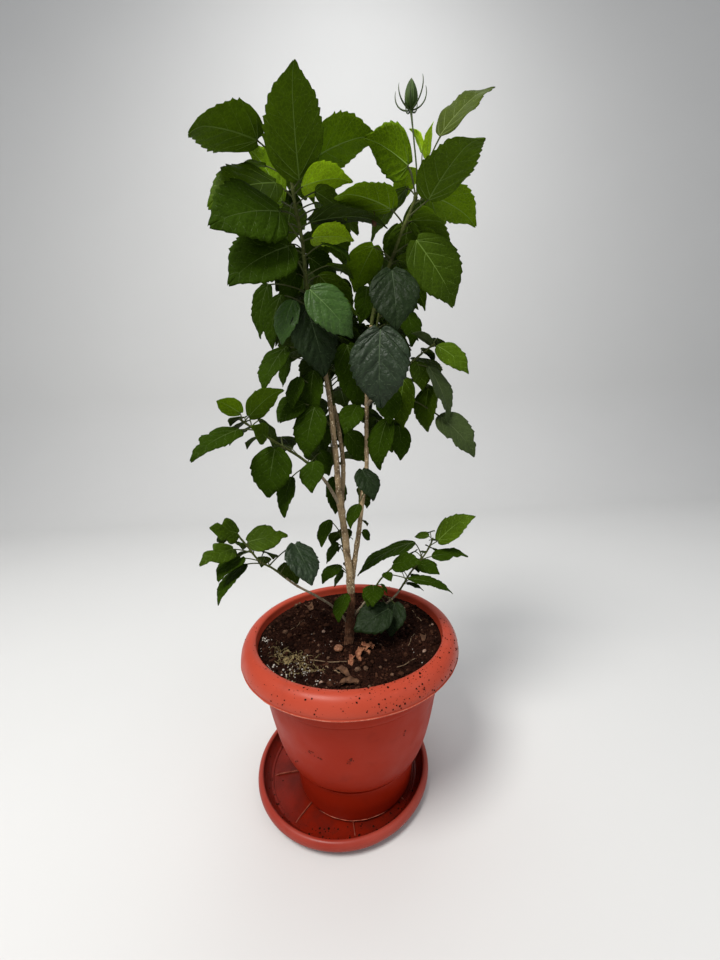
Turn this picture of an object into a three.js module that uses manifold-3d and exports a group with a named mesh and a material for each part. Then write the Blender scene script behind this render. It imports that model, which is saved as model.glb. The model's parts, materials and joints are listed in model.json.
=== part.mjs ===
// A potted hibiscus shrub in its plastic pot and saucer.
// Millimetres, +Z up. The origin is on the ground under the pot's axis, +X is to the viewer's
// right and +Y points away from the viewer.

import * as THREE from 'three';
import { mergeVertices } from 'three/addons/utils/BufferGeometryUtils.js';
import Module from 'manifold-3d';

const wasm = await Module();
wasm.setup();

// Driving sizes of the whole plant.
const CLEARANCE = 0.3;
const SOIL_TOP = 214;
const GOLDEN_ANGLE = 137.5;

// Pot: an inverted bell on a straight foot, with a rolled rim.
const POT_BASE_RADIUS = 83;
const POT_FOOT_RADIUS = 90;
const POT_FOOT_TOP = 60;
const POT_BELL_CURVE = 0.5;
const POT_NECK_RADIUS = 128;
const POT_NECK_HEIGHT = 205;
const POT_RIM_RADIUS = 150;
const POT_RIM_LOW = 211;
const POT_RIM_CREST = 233;
const POT_MOUTH_RADIUS = 129;
const POT_MOUTH_LOW = 222;
const POT_WALL = 4;
const POT_FLOOR = 6;
const ROUND_SEGMENTS = 32;

// Soil: a shallow hollow, higher along the pot's wall than round the trunk.
const SOIL_EDGE = 221;
const SOIL_HOLLOW = [[124, 220], [112, 219.5], [80, 216.5], [50, 214.6], [25, SOIL_TOP]];

// Saucer: a shallow dish with a rolled lip, a step round its floor and radial ribs that the pot
// stands on.
const SAUCER_X = -17.5;
const SAUCER_Y = 6;
const SAUCER_BASE_RADIUS = 112;
const SAUCER_FLOOR_RADIUS = 105;
const SAUCER_LIP_RADIUS = 126.5;
const SAUCER_LIP_INNER = 118.5;
const SAUCER_LIP_LOW = 10;
const SAUCER_HEIGHT = 22;
const SAUCER_FLOOR = 4;
const RIB_TOP = 7.4;
const RIB_WIDTH = 3;
const RIB_COUNT = 8;
const RIB_TURN = 7;
const RIB_REACH = 104;
const RIB_START = 20;

// Leaves: pointed ovals on four-sided stalks. A stalk leaves its stem between the lowest and the
// highest part of it, where it is short and rises well. A leaf keeps a margin off what it passes.
const LEAF_STATIONS = [0.13, 0.42, 0.75];
const LEAF_WIDEST = 0.37;
const LEAF_THICK_PART = 1 / 70;
const LEAF_THICK_LEAST = 1.1;
const LEAF_ARCH = 0.06;
const STALK_RADIUS = 1;
const STALK_RISE = 35;
const STALK_LENGTH_WEIGHT = 1 / 20;
const STALK_RISE_WEIGHT = 1 / 40;
const STEM_STATIONS = 40;
const STALK_LOWEST = 0.12;
const STALK_HIGHEST = 0.97;
const LEAF_MARGIN = 0.4;
const STALK_SHARED = 0.9;

// The growth rule's leaves: the least value and the spread of each thing drawn for a leaf. The
// place on the stem is a part of the leaf's own share of it, the stalk and the blade are parts of the
// shoot's reach and leaf size, the breadth is a part of the length, and angles are in degrees.
const DRAWN = {
  along: [0.3, 0.6],
  stalk: [0.6, 0.8],
  stalkRise: [25, 25],
  length: [0.75, 0.45],
  turn: [-25, 50],
  rise: [-10, -45],
  roll: [-25, 50],
  broad: [0.62, 0.14],
};

// Limbs: their taper, the fade of the root flare, the length of one straight stretch and the width
// from which a limb is eight-sided.
const FLARE_FADE = 14;
const TAPER = 1.4;
const STRETCH = 22;
const LEAST_STRETCHES = 4;
const WIDE_LIMB = 6;

// Flower bud: a pointed oval on a long stalk, with narrow bracts spread round its foot. The oval's
// outline is in parts of its radius and length.
const BUD_STALK = [[106, 0, 793], [106, 0, 820], [103, 0, 855], [100, 0, 887]];
const BUD_STALK_STEPS = 6;
const BUD_LENGTH = 31;
const BUD_RADIUS = 8;
const BUD_SIDES = 8;
const BUD_OUTLINE = [[0, -0.06], [0.5, 0], [0.95, 0.22], [1, 0.4], [0.72, 0.68], [0.3, 0.92], [0, 1]];
const BRACT = { count: 7, start: 2, length: 24, rise: 40, roll: 180, broad: 0.12, arch: 0.2 };

// Colours, roughly as they look in daylight.
const COLOUR = { clay: 0xb4472c, soil: 0x3a2a20, bark: 0x8a8068, leaf: 0x3f6a2a };

function finish(colour, roughness) {
  return new THREE.MeshStandardMaterial({ color: colour, roughness, metalness: 0 });
}

const radians = THREE.MathUtils.degToRad;
const vector = (point) => new THREE.Vector3(point[0], point[1], point[2]);

// A repeatable source of numbers from 0 to 1.
function seededNumbers(seed) {
  let state = seed;
  return () => {
    state = (state * 16807) % 2147483647;
    return state / 2147483647;
  };
}

// Solids and meshes.

function toSolid(geometry) {
  const bare = geometry.clone();
  bare.deleteAttribute('normal');
  bare.deleteAttribute('uv');
  const merged = mergeVertices(bare, 1e-4);
  return new wasm.Manifold(new wasm.Mesh({
    numProp: 3,
    vertProperties: merged.attributes.position.array,
    triVerts: merged.index.array,
  }));
}

function toGeometry(solid) {
  const mesh = solid.getMesh();
  const geometry = new THREE.BufferGeometry();
  geometry.setAttribute('position', new THREE.BufferAttribute(mesh.vertProperties.slice(), 3));
  geometry.setIndex(new THREE.BufferAttribute(mesh.triVerts.slice(), 1));
  geometry.computeVertexNormals();
  return geometry;
}

function fromFaces(points, faces) {
  const geometry = new THREE.BufferGeometry();
  geometry.setFromPoints(points);
  geometry.setIndex(faces);
  return toSolid(geometry);
}

const shrub = new THREE.Group();

function addPiece(name, solid, material) {
  const mesh = new THREE.Mesh(toGeometry(solid), material);
  mesh.name = name;
  shrub.add(mesh);
}

// Turned shapes, with profiles that start and end on the axis.

function turned(profile) {
  const points = profile.map(([radius, height]) => new THREE.Vector2(radius, height));
  return toSolid(new THREE.LatheGeometry(points, ROUND_SEGMENTS).rotateX(Math.PI / 2));
}

// The bell's outer radius at a height between the foot and the neck.
function bellRadius(height) {
  const part = (height - POT_FOOT_TOP) / (POT_NECK_HEIGHT - POT_FOOT_TOP);
  return POT_FOOT_RADIUS + (POT_NECK_RADIUS - POT_FOOT_RADIUS) * part ** POT_BELL_CURVE;
}

const BELL_HEIGHTS = [66, 76, 96, 130, 168, POT_NECK_HEIGHT];
const POT_UNDERSIDE = RIB_TOP + CLEARANCE;

function potSolid() {
  const outer = BELL_HEIGHTS.map((height) => [bellRadius(height), height]);
  const inner = BELL_HEIGHTS.map((height) => [bellRadius(height) - POT_WALL, height]).reverse();
  return turned([
    [0, POT_UNDERSIDE], [POT_BASE_RADIUS - 2, POT_UNDERSIDE], [POT_BASE_RADIUS, POT_UNDERSIDE + 3],
    [POT_FOOT_RADIUS, POT_FOOT_TOP - 4], [POT_FOOT_RADIUS - 2, POT_FOOT_TOP],
    ...outer,
    [POT_RIM_RADIUS - 2, POT_RIM_LOW - 3], [POT_RIM_RADIUS, POT_RIM_LOW],
    [POT_RIM_RADIUS, POT_RIM_LOW + 7], [POT_RIM_RADIUS - 4, POT_RIM_CREST - 5],
    [POT_RIM_RADIUS - 12, POT_RIM_CREST], [POT_MOUTH_RADIUS + 3, POT_RIM_CREST - 1],
    [POT_MOUTH_RADIUS, POT_RIM_CREST - 4], [POT_MOUTH_RADIUS, POT_MOUTH_LOW],
    ...inner,
    [POT_FOOT_RADIUS - POT_WALL - 2, POT_FOOT_TOP], [POT_BASE_RADIUS - POT_WALL, POT_UNDERSIDE + POT_FLOOR],
    [0, POT_UNDERSIDE + POT_FLOOR],
  ]);
}

function soilSolid() {
  const gap = POT_WALL + CLEARANCE;
  const sides = BELL_HEIGHTS.map((height) => [bellRadius(height) - gap, height]);
  const floor = POT_UNDERSIDE + POT_FLOOR + CLEARANCE;
  return turned([
    [0, floor], [POT_BASE_RADIUS - gap, floor], [POT_FOOT_RADIUS - gap - 2, POT_FOOT_TOP],
    ...sides,
    [POT_MOUTH_RADIUS - CLEARANCE - 1, SOIL_EDGE],
    ...SOIL_HOLLOW,
    [0, SOIL_TOP],
  ]);
}

function saucerSolid() {
  const lip = SAUCER_LIP_RADIUS;
  const inner = SAUCER_LIP_INNER;
  const low = SAUCER_LIP_LOW;
  const top = SAUCER_HEIGHT;
  const floor = SAUCER_FLOOR;
  let dish = turned([
    [0, 0], [SAUCER_BASE_RADIUS, 0], [lip - 6, low - 2], [lip - 1, low], [lip, (low + top) / 2],
    [lip - 2, top - 2], [lip - 5, top], [inner, top - 2], [inner - 2, top - 5],
    [SAUCER_FLOOR_RADIUS + 4, floor + 5], [SAUCER_FLOOR_RADIUS + 2, floor + 1.5],
    [SAUCER_FLOOR_RADIUS, floor + 1.5], [SAUCER_FLOOR_RADIUS - 1, floor], [0, floor],
  ]);
  for (let i = 0; i < RIB_COUNT; i += 1) {
    const length = RIB_REACH - RIB_START;
    const rib = new THREE.BoxGeometry(length, RIB_WIDTH, RIB_TOP - floor + 1);
    rib.translate(RIB_START + length / 2, 0, (RIB_TOP + floor - 1) / 2);
    rib.rotateZ(radians(RIB_TURN + 360 * i / RIB_COUNT));
    dish = dish.add(toSolid(rib));
  }
  return dish.translate(SAUCER_X, SAUCER_Y, 0);
}

// Limbs: tapering rods along a smooth curve.

function limbCurve(route) {
  return new THREE.CatmullRomCurve3(route.map(vector), false, 'catmullrom');
}

function rod({ curve, from, to, radiusAt, sides, steps }) {
  const start = curve.getTangentAt(0);
  const reference = Math.abs(start.y) < 0.8 ? new THREE.Vector3(0, 1, 0) : new THREE.Vector3(1, 0, 0);
  const points = [];
  const faces = [];
  for (let i = 0; i <= steps; i += 1) {
    const along = from + (to - from) * i / steps;
    const centre = curve.getPointAt(along);
    const across = reference.clone().cross(curve.getTangentAt(along)).normalize();
    const third = curve.getTangentAt(along).cross(across);
    for (let j = 0; j < sides; j += 1) {
      const turn = 2 * Math.PI * j / sides;
      points.push(centre.clone()
        .addScaledVector(across, radiusAt(along) * Math.cos(turn))
        .addScaledVector(third, radiusAt(along) * Math.sin(turn)));
    }
  }
  for (let i = 0; i < steps; i += 1) {
    for (let j = 0; j < sides; j += 1) {
      const a = i * sides + j;
      const b = i * sides + (j + 1) % sides;
      faces.push(a, b, b + sides, a, b + sides, a + sides);
    }
  }
  for (let j = 1; j < sides - 1; j += 1) {
    const end = steps * sides;
    faces.push(0, j + 1, j, end, end + j, end + j + 1);
  }
  return fromFaces(points, faces);
}

// Leaves.

const leafShape = (along) => Math.sqrt(along) * (1 - along) ** 0.85;

function direction(bearing, rise) {
  const b = radians(bearing);
  const r = radians(rise);
  return new THREE.Vector3(Math.cos(r) * Math.cos(b), Math.cos(r) * Math.sin(b), Math.sin(r));
}

function leafFrame({ bearing, rise, roll }) {
  const mid = direction(bearing, rise);
  const level = direction(bearing - 90, 0);
  const up = level.clone().cross(mid);
  const turn = radians(roll);
  const side = level.clone().multiplyScalar(Math.cos(turn)).addScaledVector(up, Math.sin(turn));
  const face = up.multiplyScalar(Math.cos(turn)).addScaledVector(level, -Math.sin(turn));
  return { mid, side, face };
}

// A point on the leaf's middle sheet: along from root to tip, across from -1 to 1.
function leafPoint(leaf, frame, along, across, lift, spread) {
  const half = 0.5 * leaf.length * leaf.broad * leafShape(along) / leafShape(LEAF_WIDEST) + spread;
  const arch = (leaf.arch ?? LEAF_ARCH) * leaf.length * 4 * along * (1 - along);
  return vector(leaf.root)
    .addScaledVector(frame.mid, leaf.length * along)
    .addScaledVector(frame.side, half * across)
    .addScaledVector(frame.face, arch + lift);
}

// The place on a stem from which a stalk to the blade's root is short and rises as leaf stalks do.
function stalkFoot(leaf, stem) {
  const root = vector(leaf.root);
  let best = { cost: Infinity };
  for (let i = 0; i <= STEM_STATIONS; i += 1) {
    const part = STALK_LOWEST + (STALK_HIGHEST - STALK_LOWEST) * i / STEM_STATIONS;
    const along = stem.from + (stem.to - stem.from) * part;
    const reach = root.clone().sub(stem.curve.getPointAt(along));
    const rise = THREE.MathUtils.radToDeg(Math.asin(reach.z / reach.length()));
    const cost = reach.length() * STALK_LENGTH_WEIGHT + Math.abs(rise - STALK_RISE) * STALK_RISE_WEIGHT;
    if (cost < best.cost) best = { cost, point: root.clone().sub(reach) };
  }
  return best.point;
}

// One leaf with its stalk: a four-sided rod up the stalk that flattens into the blade, thickest
// along the middle rib. Spread makes it larger all round.
function leafSolid(leaf, foot, spread) {
  const frame = leafFrame(leaf);
  const half = Math.max(LEAF_THICK_LEAST, leaf.length * LEAF_THICK_PART) / 2 + spread;
  const root = vector(leaf.root);
  const climb = root.clone().sub(foot).normalize();
  const points = [];
  const ring = (centre, ahead) => {
    const side = frame.side.clone().addScaledVector(ahead, -frame.side.dot(ahead)).normalize();
    const face = side.clone().cross(ahead);
    for (const [sideways, outward] of [[1, 0], [0, 1], [-1, 0], [0, -1]]) {
      points.push(centre.clone()
        .addScaledVector(side, sideways * (STALK_RADIUS + spread))
        .addScaledVector(face, outward * (STALK_RADIUS + spread)));
    }
  };
  ring(foot, climb);
  ring(root, climb.clone().add(frame.mid).normalize());
  for (const along of LEAF_STATIONS) {
    points.push(
      leafPoint(leaf, frame, along, 1, 0, spread), leafPoint(leaf, frame, along, 0, half, spread),
      leafPoint(leaf, frame, along, -1, 0, spread), leafPoint(leaf, frame, along, 0, -half, spread),
    );
  }
  const last = points.length - 4;
  points.push(leafPoint(leaf, frame, 1, 0, 0, 0).addScaledVector(frame.mid, spread));
  const faces = [0, 1, 2, 0, 2, 3];
  for (let j = 0; j < 4; j += 1) {
    const k = (j + 1) % 4;
    faces.push(last + 4, last + k, last + j);
    for (let i = 0; i < last; i += 4) {
      faces.push(i + j, i + 4 + j, i + 4 + k, i + j, i + 4 + k, i + k);
    }
  }
  return fromFaces(points, faces);
}

// Leaves that the growth rule deals out round a stem: each a golden turn on from the last.
function ruleLeaves({ count, seed, facing, fan, reach, size }, stem) {
  const next = seededNumbers(seed);
  const draw = ([least, spread]) => least + spread * next();
  const leaves = [];
  for (let i = 0; i < count; i += 1) {
    const along = stem.from + (stem.to - stem.from) * (i + draw(DRAWN.along)) / count;
    const heading = facing + fan * (((i * GOLDEN_ANGLE) % 360) / 180 - 1);
    const stalk = reach * draw(DRAWN.stalk);
    const outward = direction(heading, draw(DRAWN.stalkRise));
    leaves.push({
      root: stem.curve.getPointAt(along).addScaledVector(outward, stalk).toArray(),
      length: size * draw(DRAWN.length),
      bearing: heading + draw(DRAWN.turn),
      rise: draw(DRAWN.rise),
      roll: draw(DRAWN.roll),
      broad: draw(DRAWN.broad),
    });
  }
  return leaves;
}

function clearOf(body, others) {
  return others.every((other) => body.intersect(other).isEmpty());
}

// The shoots. Each has one route from its root to its tip. The bare part is a limb of its own, and
// the rest is the stem of a mass of leaves. Leaves that show clearly are listed by the root of the
// blade, its length, the bearing, rise and roll of the blade, and its breadth as a part of its length.
const leafRow = ([x, y, z, length, bearing, rise, roll, broad]) => (
  { root: [x, y, z], length, bearing, rise, roll, broad });

const SHOOTS = [
  {
    limb: 'trunk', mass: 'foliage_left_top', bare: 0.72, width: [11.8, 3.8], flare: 1.8,
    route: [[-3, -19, 205], [1, -9, 246], [4, 0, 283], [-1, 0, 361], [-6, 0, 414], [-9, 0, 480], [-15, 0, 566],
      [-25, 0, 625], [-35, 0, 686], [-38, 0, 743], [-44, 0, 780], [-48, 0, 828]],
    leaves: [
      [-48, 18, 712, 46, 172, -60, 75, 0.7],
      [-38, 18, 736, 60, 168, -45, -40, 0.7], [-12, 2, 740, 44, -25, -34, -20, 0.7],
      [-37, -5, 806, 106, -85, 30, -20, 0.66], [-80, -25, 836, 92, -135, -20, -10, 0.74],
      [-22, 10, 839, 92, 5, 23, 20, 0.7], [-35, -5, 800, 70, 20, 20, 25, 0.6],
      [-60, 10, 791, 80, 165, 60, -50, 0.66], [-65, -5, 804, 90, -155, -25, 65, 0.74],
      [-60, -30, 759, 94, -140, -24, 65, 0.84], [-52, -30, 722, 91, -150, -34, 60, 0.78],
      [-27, 0, 763, 97, -8, -4, -12, 0.72], [-26, 5, 748, 62, 30, 10, 20, 0.64],
      [-31, 8, 726, 60, 50, -15, -95, 0.66], [-86, 19, 700, 72, 130, -60, 95, 0.64],
    ],
    rule: { count: 18, seed: 336, facing: 90, fan: 85, reach: 40, size: 68 },
  },
  {
    limb: 'bough_right', mass: 'foliage_right_top', parent: 'trunk', bare: 0.68, width: [7.4, 3.6],
    route: [[4, 0.5, 288], [9, 6, 313], [20, 5, 379], [26, 4, 421], [32, 2, 454], [34, 0, 523],
      [39, 0, 600], [50, 0, 666], [76, 0, 726], [86, 0, 751], [98, 0, 775], [106, 0, 795]],
    leaves: [
      [102, -10, 736, 92, 5, -56, -90, 0.72], [96, 10, 764, 66, 90, -45, 155, 0.75],
      [100, 5, 773, 40, 25, 5, 20, 0.6], [116, -15, 778, 97, -70, 8, 0, 0.64],
      [123, 0, 792, 76, 20, -15, 10, 0.74], [94, -10, 819, 67, 160, 40, -40, 0.84],
      [99, 5, 827, 52, 95, -15, 0, 0.62], [73, -10, 771, 84, -146, -5, -5, 0.66],
      [51, 0, 735, 66, 118, -32, -10, 0.74], [135, 0, 857, 84, -5, 40, -50, 0.58],
      [115, 5, 844, 32, 160, 65, -25, 0.5], [120, 0, 833, 38, -95, 25, -50, 0.5],
    ],
    rule: { count: 16, seed: 260, facing: 80, fan: 70, reach: 32, size: 70 },
    budded: true,
  },
  {
    limb: 'bough_middle', mass: 'foliage_middle', parent: 'trunk', bare: 0.5, width: [7, 3.6],
    route: [[-4, 0.5, 396], [-3, 9, 418], [0, 14, 446], [0, 15, 476], [-5, 15, 522], [-10, 15, 552],
      [-16, 15, 600], [-22, 16, 650], [-24, 17, 690]],
    leaves: [[-63, 10, 607, 44, 135, -60, 85, 0.6], [12, 8, 619, 87, 15, -80, -75, 0.68]],
    rule: { count: 22, seed: 37, facing: 90, fan: 85, reach: 36, size: 74 },
  },
  {
    limb: 'arm_left', mass: 'foliage_left_arm', parent: 'trunk', bare: 0.33, width: [5, 2.6],
    route: [[-6, 0, 408], [-21, -8, 437], [-34, -14, 456], [-52, -22, 475], [-73, -32, 491],
      [-89, -40, 503], [-109, -45, 518], [-119, -48, 526]],
    leaves: [
      [-118, -45, 533, 34, -130, 25, -45, 0.72], [-110, -40, 529, 54, 20, 40, 55, 0.66],
      [-119, -50, 514, 71, -130, -25, 20, 0.56], [-90, -45, 503, 34, -105, 25, 105, 0.75],
      [-81, -45, 489, 60, -130, -75, 40, 0.82], [-65, -30, 453, 53, -130, -70, 0, 0.58],
      [-37, -25, 470, 44, -95, -50, -10, 0.75], [-30, 0, 481, 40, 50, -60, -90, 0.7],
    ],
    rule: { count: 9, seed: 389, facing: 100, fan: 60, reach: 22, size: 48 },
  },
  {
    limb: 'arm_right', mass: 'foliage_right_arm', parent: 'bough_right', bare: 0.2, width: [4.4, 2.4],
    route: [[35, 0, 540], [48, -4, 553], [59, -8, 563], [74, -12, 576], [88, -15, 587], [109, -20, 603],
      [121, -22, 611]],
    leaves: [
      [62, -14, 561, 50, -100, -70, 0, 0.7], [84, -10, 572, 65, 170, -85, 55, 0.66],
      [100, -15, 591, 40, -70, -70, -10, 0.7], [117, -5, 560, 59, 175, -85, 40, 0.7],
      [113, -20, 584, 77, -9, -69, -35, 0.56], [128, -12, 523, 72, -24, -48, -45, 0.62],
      [124, -20, 609, 54, -15, -40, -60, 0.6], [120, -20, 610, 34, 150, 34, -40, 0.5],
    ],
    rule: { count: 7, seed: 220, facing: 85, fan: 60, reach: 22, size: 52 },
  },
  {
    limb: 'shoot_ground_left', mass: 'foliage_ground_left', parent: 'trunk', bare: 0.6,
    width: [4, 2.2],
    route: [[0, -10.5, 239], [-22, -12, 267], [-45, -24, 291], [-69, -36, 313], [-92, -48, 340],
      [-107, -54, 353], [-118, -58, 372], [-127, -60, 386]],
    leaves: [
      [-129, -59, 391, 38, -130, 22, 65, 0.84], [-135, -62, 373, 46, -125, -4, 30, 0.7],
      [-121, -50, 377, 50, 10, 5, -50, 0.7], [-129, -55, 359, 43, -115, -15, 0, 0.72],
      [-126, -50, 349, 60, -115, -25, -15, 0.5], [-65, -40, 368, 58, -55, -46, 0, 0.74],
    ],
    rule: { count: 4, seed: 41, facing: 110, fan: 50, reach: 18, size: 42 },
  },
  {
    limb: 'shoot_ground_near', mass: 'foliage_ground_near', parent: 'trunk', bare: 0.4,
    width: [3.6, 2.2],
    route: [[1, -9, 244], [28, 4, 269], [46, 8, 293], [62, 12, 307], [77, 16, 319]],
    leaves: [
      [66, -2, 262, 46, -115, -48, -15, 0.9],
      [66, 8, 316, 46, -40, 15, -40, 0.7], [82, -20, 305, 62, -20, -12, 0, 0.5],
      [54, -25, 266, 56, -160, -20, 35, 0.8],
    ],
    rule: { count: 3, seed: 119, facing: -40, fan: 50, reach: 16, size: 40 },
  },
  {
    limb: 'shoot_ground_far', mass: 'foliage_ground_far', parent: 'trunk', bare: 0.5,
    width: [4, 2.2],
    route: [[-0.5, -13, 230], [56, 10, 257], [74, 14, 272], [92, 18, 297], [106, 20, 313], [120, 22, 331],
      [128, 24, 347]],
    leaves: [
      [105, 44, 335, 102, -172, -22, -5, 0.6], [122, 25, 350, 24, 145, -10, 30, 0.66],
      [134, 20, 343, 65, -10, 40, -30, 0.68], [123, 15, 322, 52, -15, 5, -15, 0.6],
      [104, 14, 313, 34, -40, -15, -35, 0.68],
    ],
    rule: { count: 5, seed: 52, facing: 80, fan: 60, reach: 18, size: 44 },
  },
  {
    mass: 'foliage_left_front', parent: 'trunk', bare: 0, width: [4, 2.4],
    route: [[-20, 0, 598], [-25, -9, 612], [-32, -17, 640], [-38, -19, 668]],
    leaves: [
      [-67, -5, 678, 67, 158, -70, 70, 0.64], [-50, -30, 663, 54, -175, -70, 60, 0.64],
      [-29, -45, 669, 72, 10, -45, -85, 0.68], [-35, -30, 656, 84, 30, -75, -100, 0.7],
      [-64, -10, 615, 68, -145, -55, 20, 0.62],
    ],
    rule: { count: 0 },
  },
  {
    mass: 'foliage_right_front', parent: 'bough_right', bare: 0, width: [4, 2.4],
    route: [[38, 0, 592], [43, -12, 606], [50, -20, 636], [57, -22, 672]],
    leaves: [
      [50, -55, 621, 90, 125, -85, 130, 0.78], [66, -45, 688, 72, -80, -75, -10, 0.8],
      [92, 14, 664, 56, -80, -66, 10, 0.62],
    ],
    rule: { count: 0 },
  },
  {
    mass: 'foliage_right_back', parent: 'bough_right', bare: 0, width: [4, 2.4],
    route: [[39, 0, 596], [43, 12, 610], [47, 24, 640], [52, 30, 680]],
    leaves: [[42, 17, 694, 50, -168, -78, 90, 0.58]],
    rule: { count: 20, seed: 221, facing: 75, fan: 75, reach: 40, size: 66 },
  },
  {
    mass: 'spray_trunk_left', parent: 'trunk', bare: 0, width: [3.2, 2],
    route: [[-11, 0, 512], [-24, 1, 528], [-34, 1, 546], [-38, 0, 572]],
    leaves: [
      [-46, -3, 545, 42, -175, -32, 60, 0.62],
      [-65, 10, 551, 44, 140, -40, 75, 0.7], [-51, -5, 578, 44, -135, -70, 10, 0.66],
      [-33, -8, 539, 68, -150, -76, 35, 0.7], [-32, -2, 586, 64, 170, -85, 60, 0.66],
    ],
    rule: { count: 3, seed: 159, facing: 120, fan: 50, reach: 20, size: 50 },
  },
  {
    mass: 'spray_middle_right', parent: 'bough_middle', bare: 0, width: [3, 2],
    route: [[0, 14, 484], [8, 19, 500], [10, 21, 526]],
    leaves: [
      [22, 1, 540, 46, -130, -50, 30, 0.7], [8, 16, 505, 52, 30, -55, -90, 0.66],
    ],
    rule: { count: 4, seed: 148, facing: 80, fan: 70, reach: 20, size: 50 },
  },
  {
    mass: 'spray_middle_left', parent: 'bough_middle', bare: 0, width: [3, 2],
    route: [[0, 14, 462], [-12, 20, 468], [-16, 24, 500]],
    leaves: [
      [-19, 16, 516, 46, 130, -65, 100, 0.66], [-13, 20, 444, 54, -70, -85, 15, 0.66],
    ],
    rule: { count: 3, seed: 42, facing: 120, fan: 60, reach: 20, size: 50 },
  },
  {
    mass: 'spray_right_low', parent: 'bough_right', bare: 0, width: [3, 2],
    route: [[33, 1, 480], [46, 1, 494], [56, -2, 512]],
    leaves: [
      [60, -15, 520, 67, -160, -75, 20, 0.66], [78, 5, 512, 48, -75, -85, 0, 0.64],
    ],
    rule: { count: 3, seed: 221, facing: 70, fan: 60, reach: 20, size: 48 },
  },
  {
    mass: 'spray_right_small', parent: 'bough_right', bare: 0, width: [2.8, 2],
    route: [[15, 6, 350], [19, 15, 366], [21, 19, 400], [22, 20, 428]],
    leaves: [
      [24, 18, 364, 22, 35, -50, -70, 0.7],
    ],
    rule: { count: 2, seed: 259, facing: 80, fan: 50, reach: 14, size: 36 },
  },
  {
    mass: 'spray_right_front', parent: 'bough_right', bare: 0, width: [2.6, 2],
    route: [[28, 3, 422], [27, -9, 430], [27, -12, 446]],
    leaves: [[25, -13, 456, 46, -60, -52, -10, 0.74], [19, -12, 410, 36, -130, -50, 0, 0.62]],
    rule: { count: 0 },
  },
  {
    mass: 'spray_trunk_low', parent: 'trunk', bare: 0, width: [2.8, 2],
    route: [[3, 0, 296], [-1, 11, 312], [-5, 14, 345], [-9, 15, 368]],
    leaves: [
      [-22, 15, 384, 42, -120, -50, -10, 0.6], [-11, 20, 347, 40, 160, -55, 40, 0.6],
      [-12, 20, 315, 44, -125, -15, 0, 0.6], [-5, 25, 303, 36, 145, -55, 45, 0.55],
    ],
    rule: { count: 2, seed: 51, facing: 90, fan: 50, reach: 14, size: 36 },
  },
  {
    mass: 'spray_foot', parent: 'trunk', bare: 0, width: [2.6, 2],
    route: [[3, -4, 268], [0, -10, 276], [-3, -14, 283]],
    leaves: [[-4, -16, 286, 40, -110, -35, -20, 0.66]],
    rule: { count: 0 },
  },
];

const shortfall = (curve) => CLEARANCE / curve.getLength();

function limbRadius({ width, flare = 0 }, curve) {
  const length = curve.getLength();
  return (along) => (
    (width[1] + (width[0] - width[1]) * (1 - along) ** TAPER) / 2
    + flare * Math.exp(-along * length / FLARE_FADE));
}

// Each shoot's curve, its solid over any stretch, and a slightly fatter one that cuts what meets it.
function prepareShoot(shoot) {
  const curve = limbCurve(shoot.route);
  const radius = limbRadius(shoot, curve);
  const sides = shoot.width[0] > WIDE_LIMB ? 8 : 6;
  const stretch = (from, to, extra) => rod({
    curve, from, to, radiusAt: (along) => radius(along) + extra, sides,
    steps: Math.max(LEAST_STRETCHES, Math.round((to - from) * curve.getLength() / STRETCH)),
  });
  return {
    ...shoot, curve, stretch, around: stretch(0, 1, CLEARANCE),
    stem: { curve, from: shoot.bare ? shoot.bare + shortfall(curve) : 0, to: 1 },
  };
}

function cutByParent(solid, shoot, shoots) {
  const parent = shoots.find((other) => other.limb === shoot.parent);
  return parent ? solid.subtract(parent.around) : solid;
}

function bud() {
  const tip = BUD_STALK[BUD_STALK.length - 1];
  const outline = BUD_OUTLINE.map(([radius, height]) => (
    new THREE.Vector2(radius * BUD_RADIUS, height * BUD_LENGTH)));
  const cone = new THREE.LatheGeometry(outline, BUD_SIDES).rotateX(Math.PI / 2).translate(...tip);
  const stalk = { curve: limbCurve(BUD_STALK), from: 0, to: 1, radiusAt: () => STALK_RADIUS };
  let solid = toSolid(cone).add(rod({ ...stalk, sides: 5, steps: BUD_STALK_STEPS }));
  for (let i = 0; i < BRACT.count; i += 1) {
    const bearing = 360 * i / BRACT.count;
    const root = vector(tip).addScaledVector(direction(bearing, 0), BRACT.start).toArray();
    solid = solid.add(leafSolid({ ...BRACT, root, bearing }, vector(tip), 0));
  }
  return solid;
}

// The trunk's foot is cut flat just above the soil.
function standOnSoil(solid) {
  const size = SOIL_TOP;
  const ground = new THREE.BoxGeometry(size, size, size).translate(0, 0, SOIL_TOP + CLEARANCE - size / 2);
  return solid.subtract(toSolid(ground));
}

const shoots = SHOOTS.map(prepareShoot);
const limbs = shoots.filter((shoot) => shoot.limb);
const bark = finish(COLOUR.bark, 0.85);
const green = finish(COLOUR.leaf, 0.45);

addPiece('saucer', saucerSolid(), finish(COLOUR.clay, 0.4));
addPiece('pot', potSolid(), finish(COLOUR.clay, 0.45));
addPiece('soil', soilSolid(), finish(COLOUR.soil, 1));

const limbSolids = limbs.map((shoot) => (
  standOnSoil(cutByParent(shoot.stretch(0, shoot.bare, 0), shoot, shoots))));
limbs.forEach((shoot, i) => addPiece(shoot.limb, limbSolids[i], bark));

const masses = shoots.map((shoot) => ({
  name: shoot.mass, shoot, solid: cutByParent(shoot.stretch(shoot.stem.from, 1, 0), shoot, shoots),
}));

// Listed leaves are kept first, on every mass, and then those of the rule where there is room.
function addLeaf(mass, leaf) {
  const others = [...limbSolids, ...masses.filter((other) => other !== mass).map((other) => other.solid)];
  const foot = stalkFoot(leaf, mass.shoot.stem);
  if (clearOf(leafSolid(leaf, foot, LEAF_MARGIN), others)) {
    mass.solid = mass.solid.add(leafSolid(leaf, foot, 0));
  }
}

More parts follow.
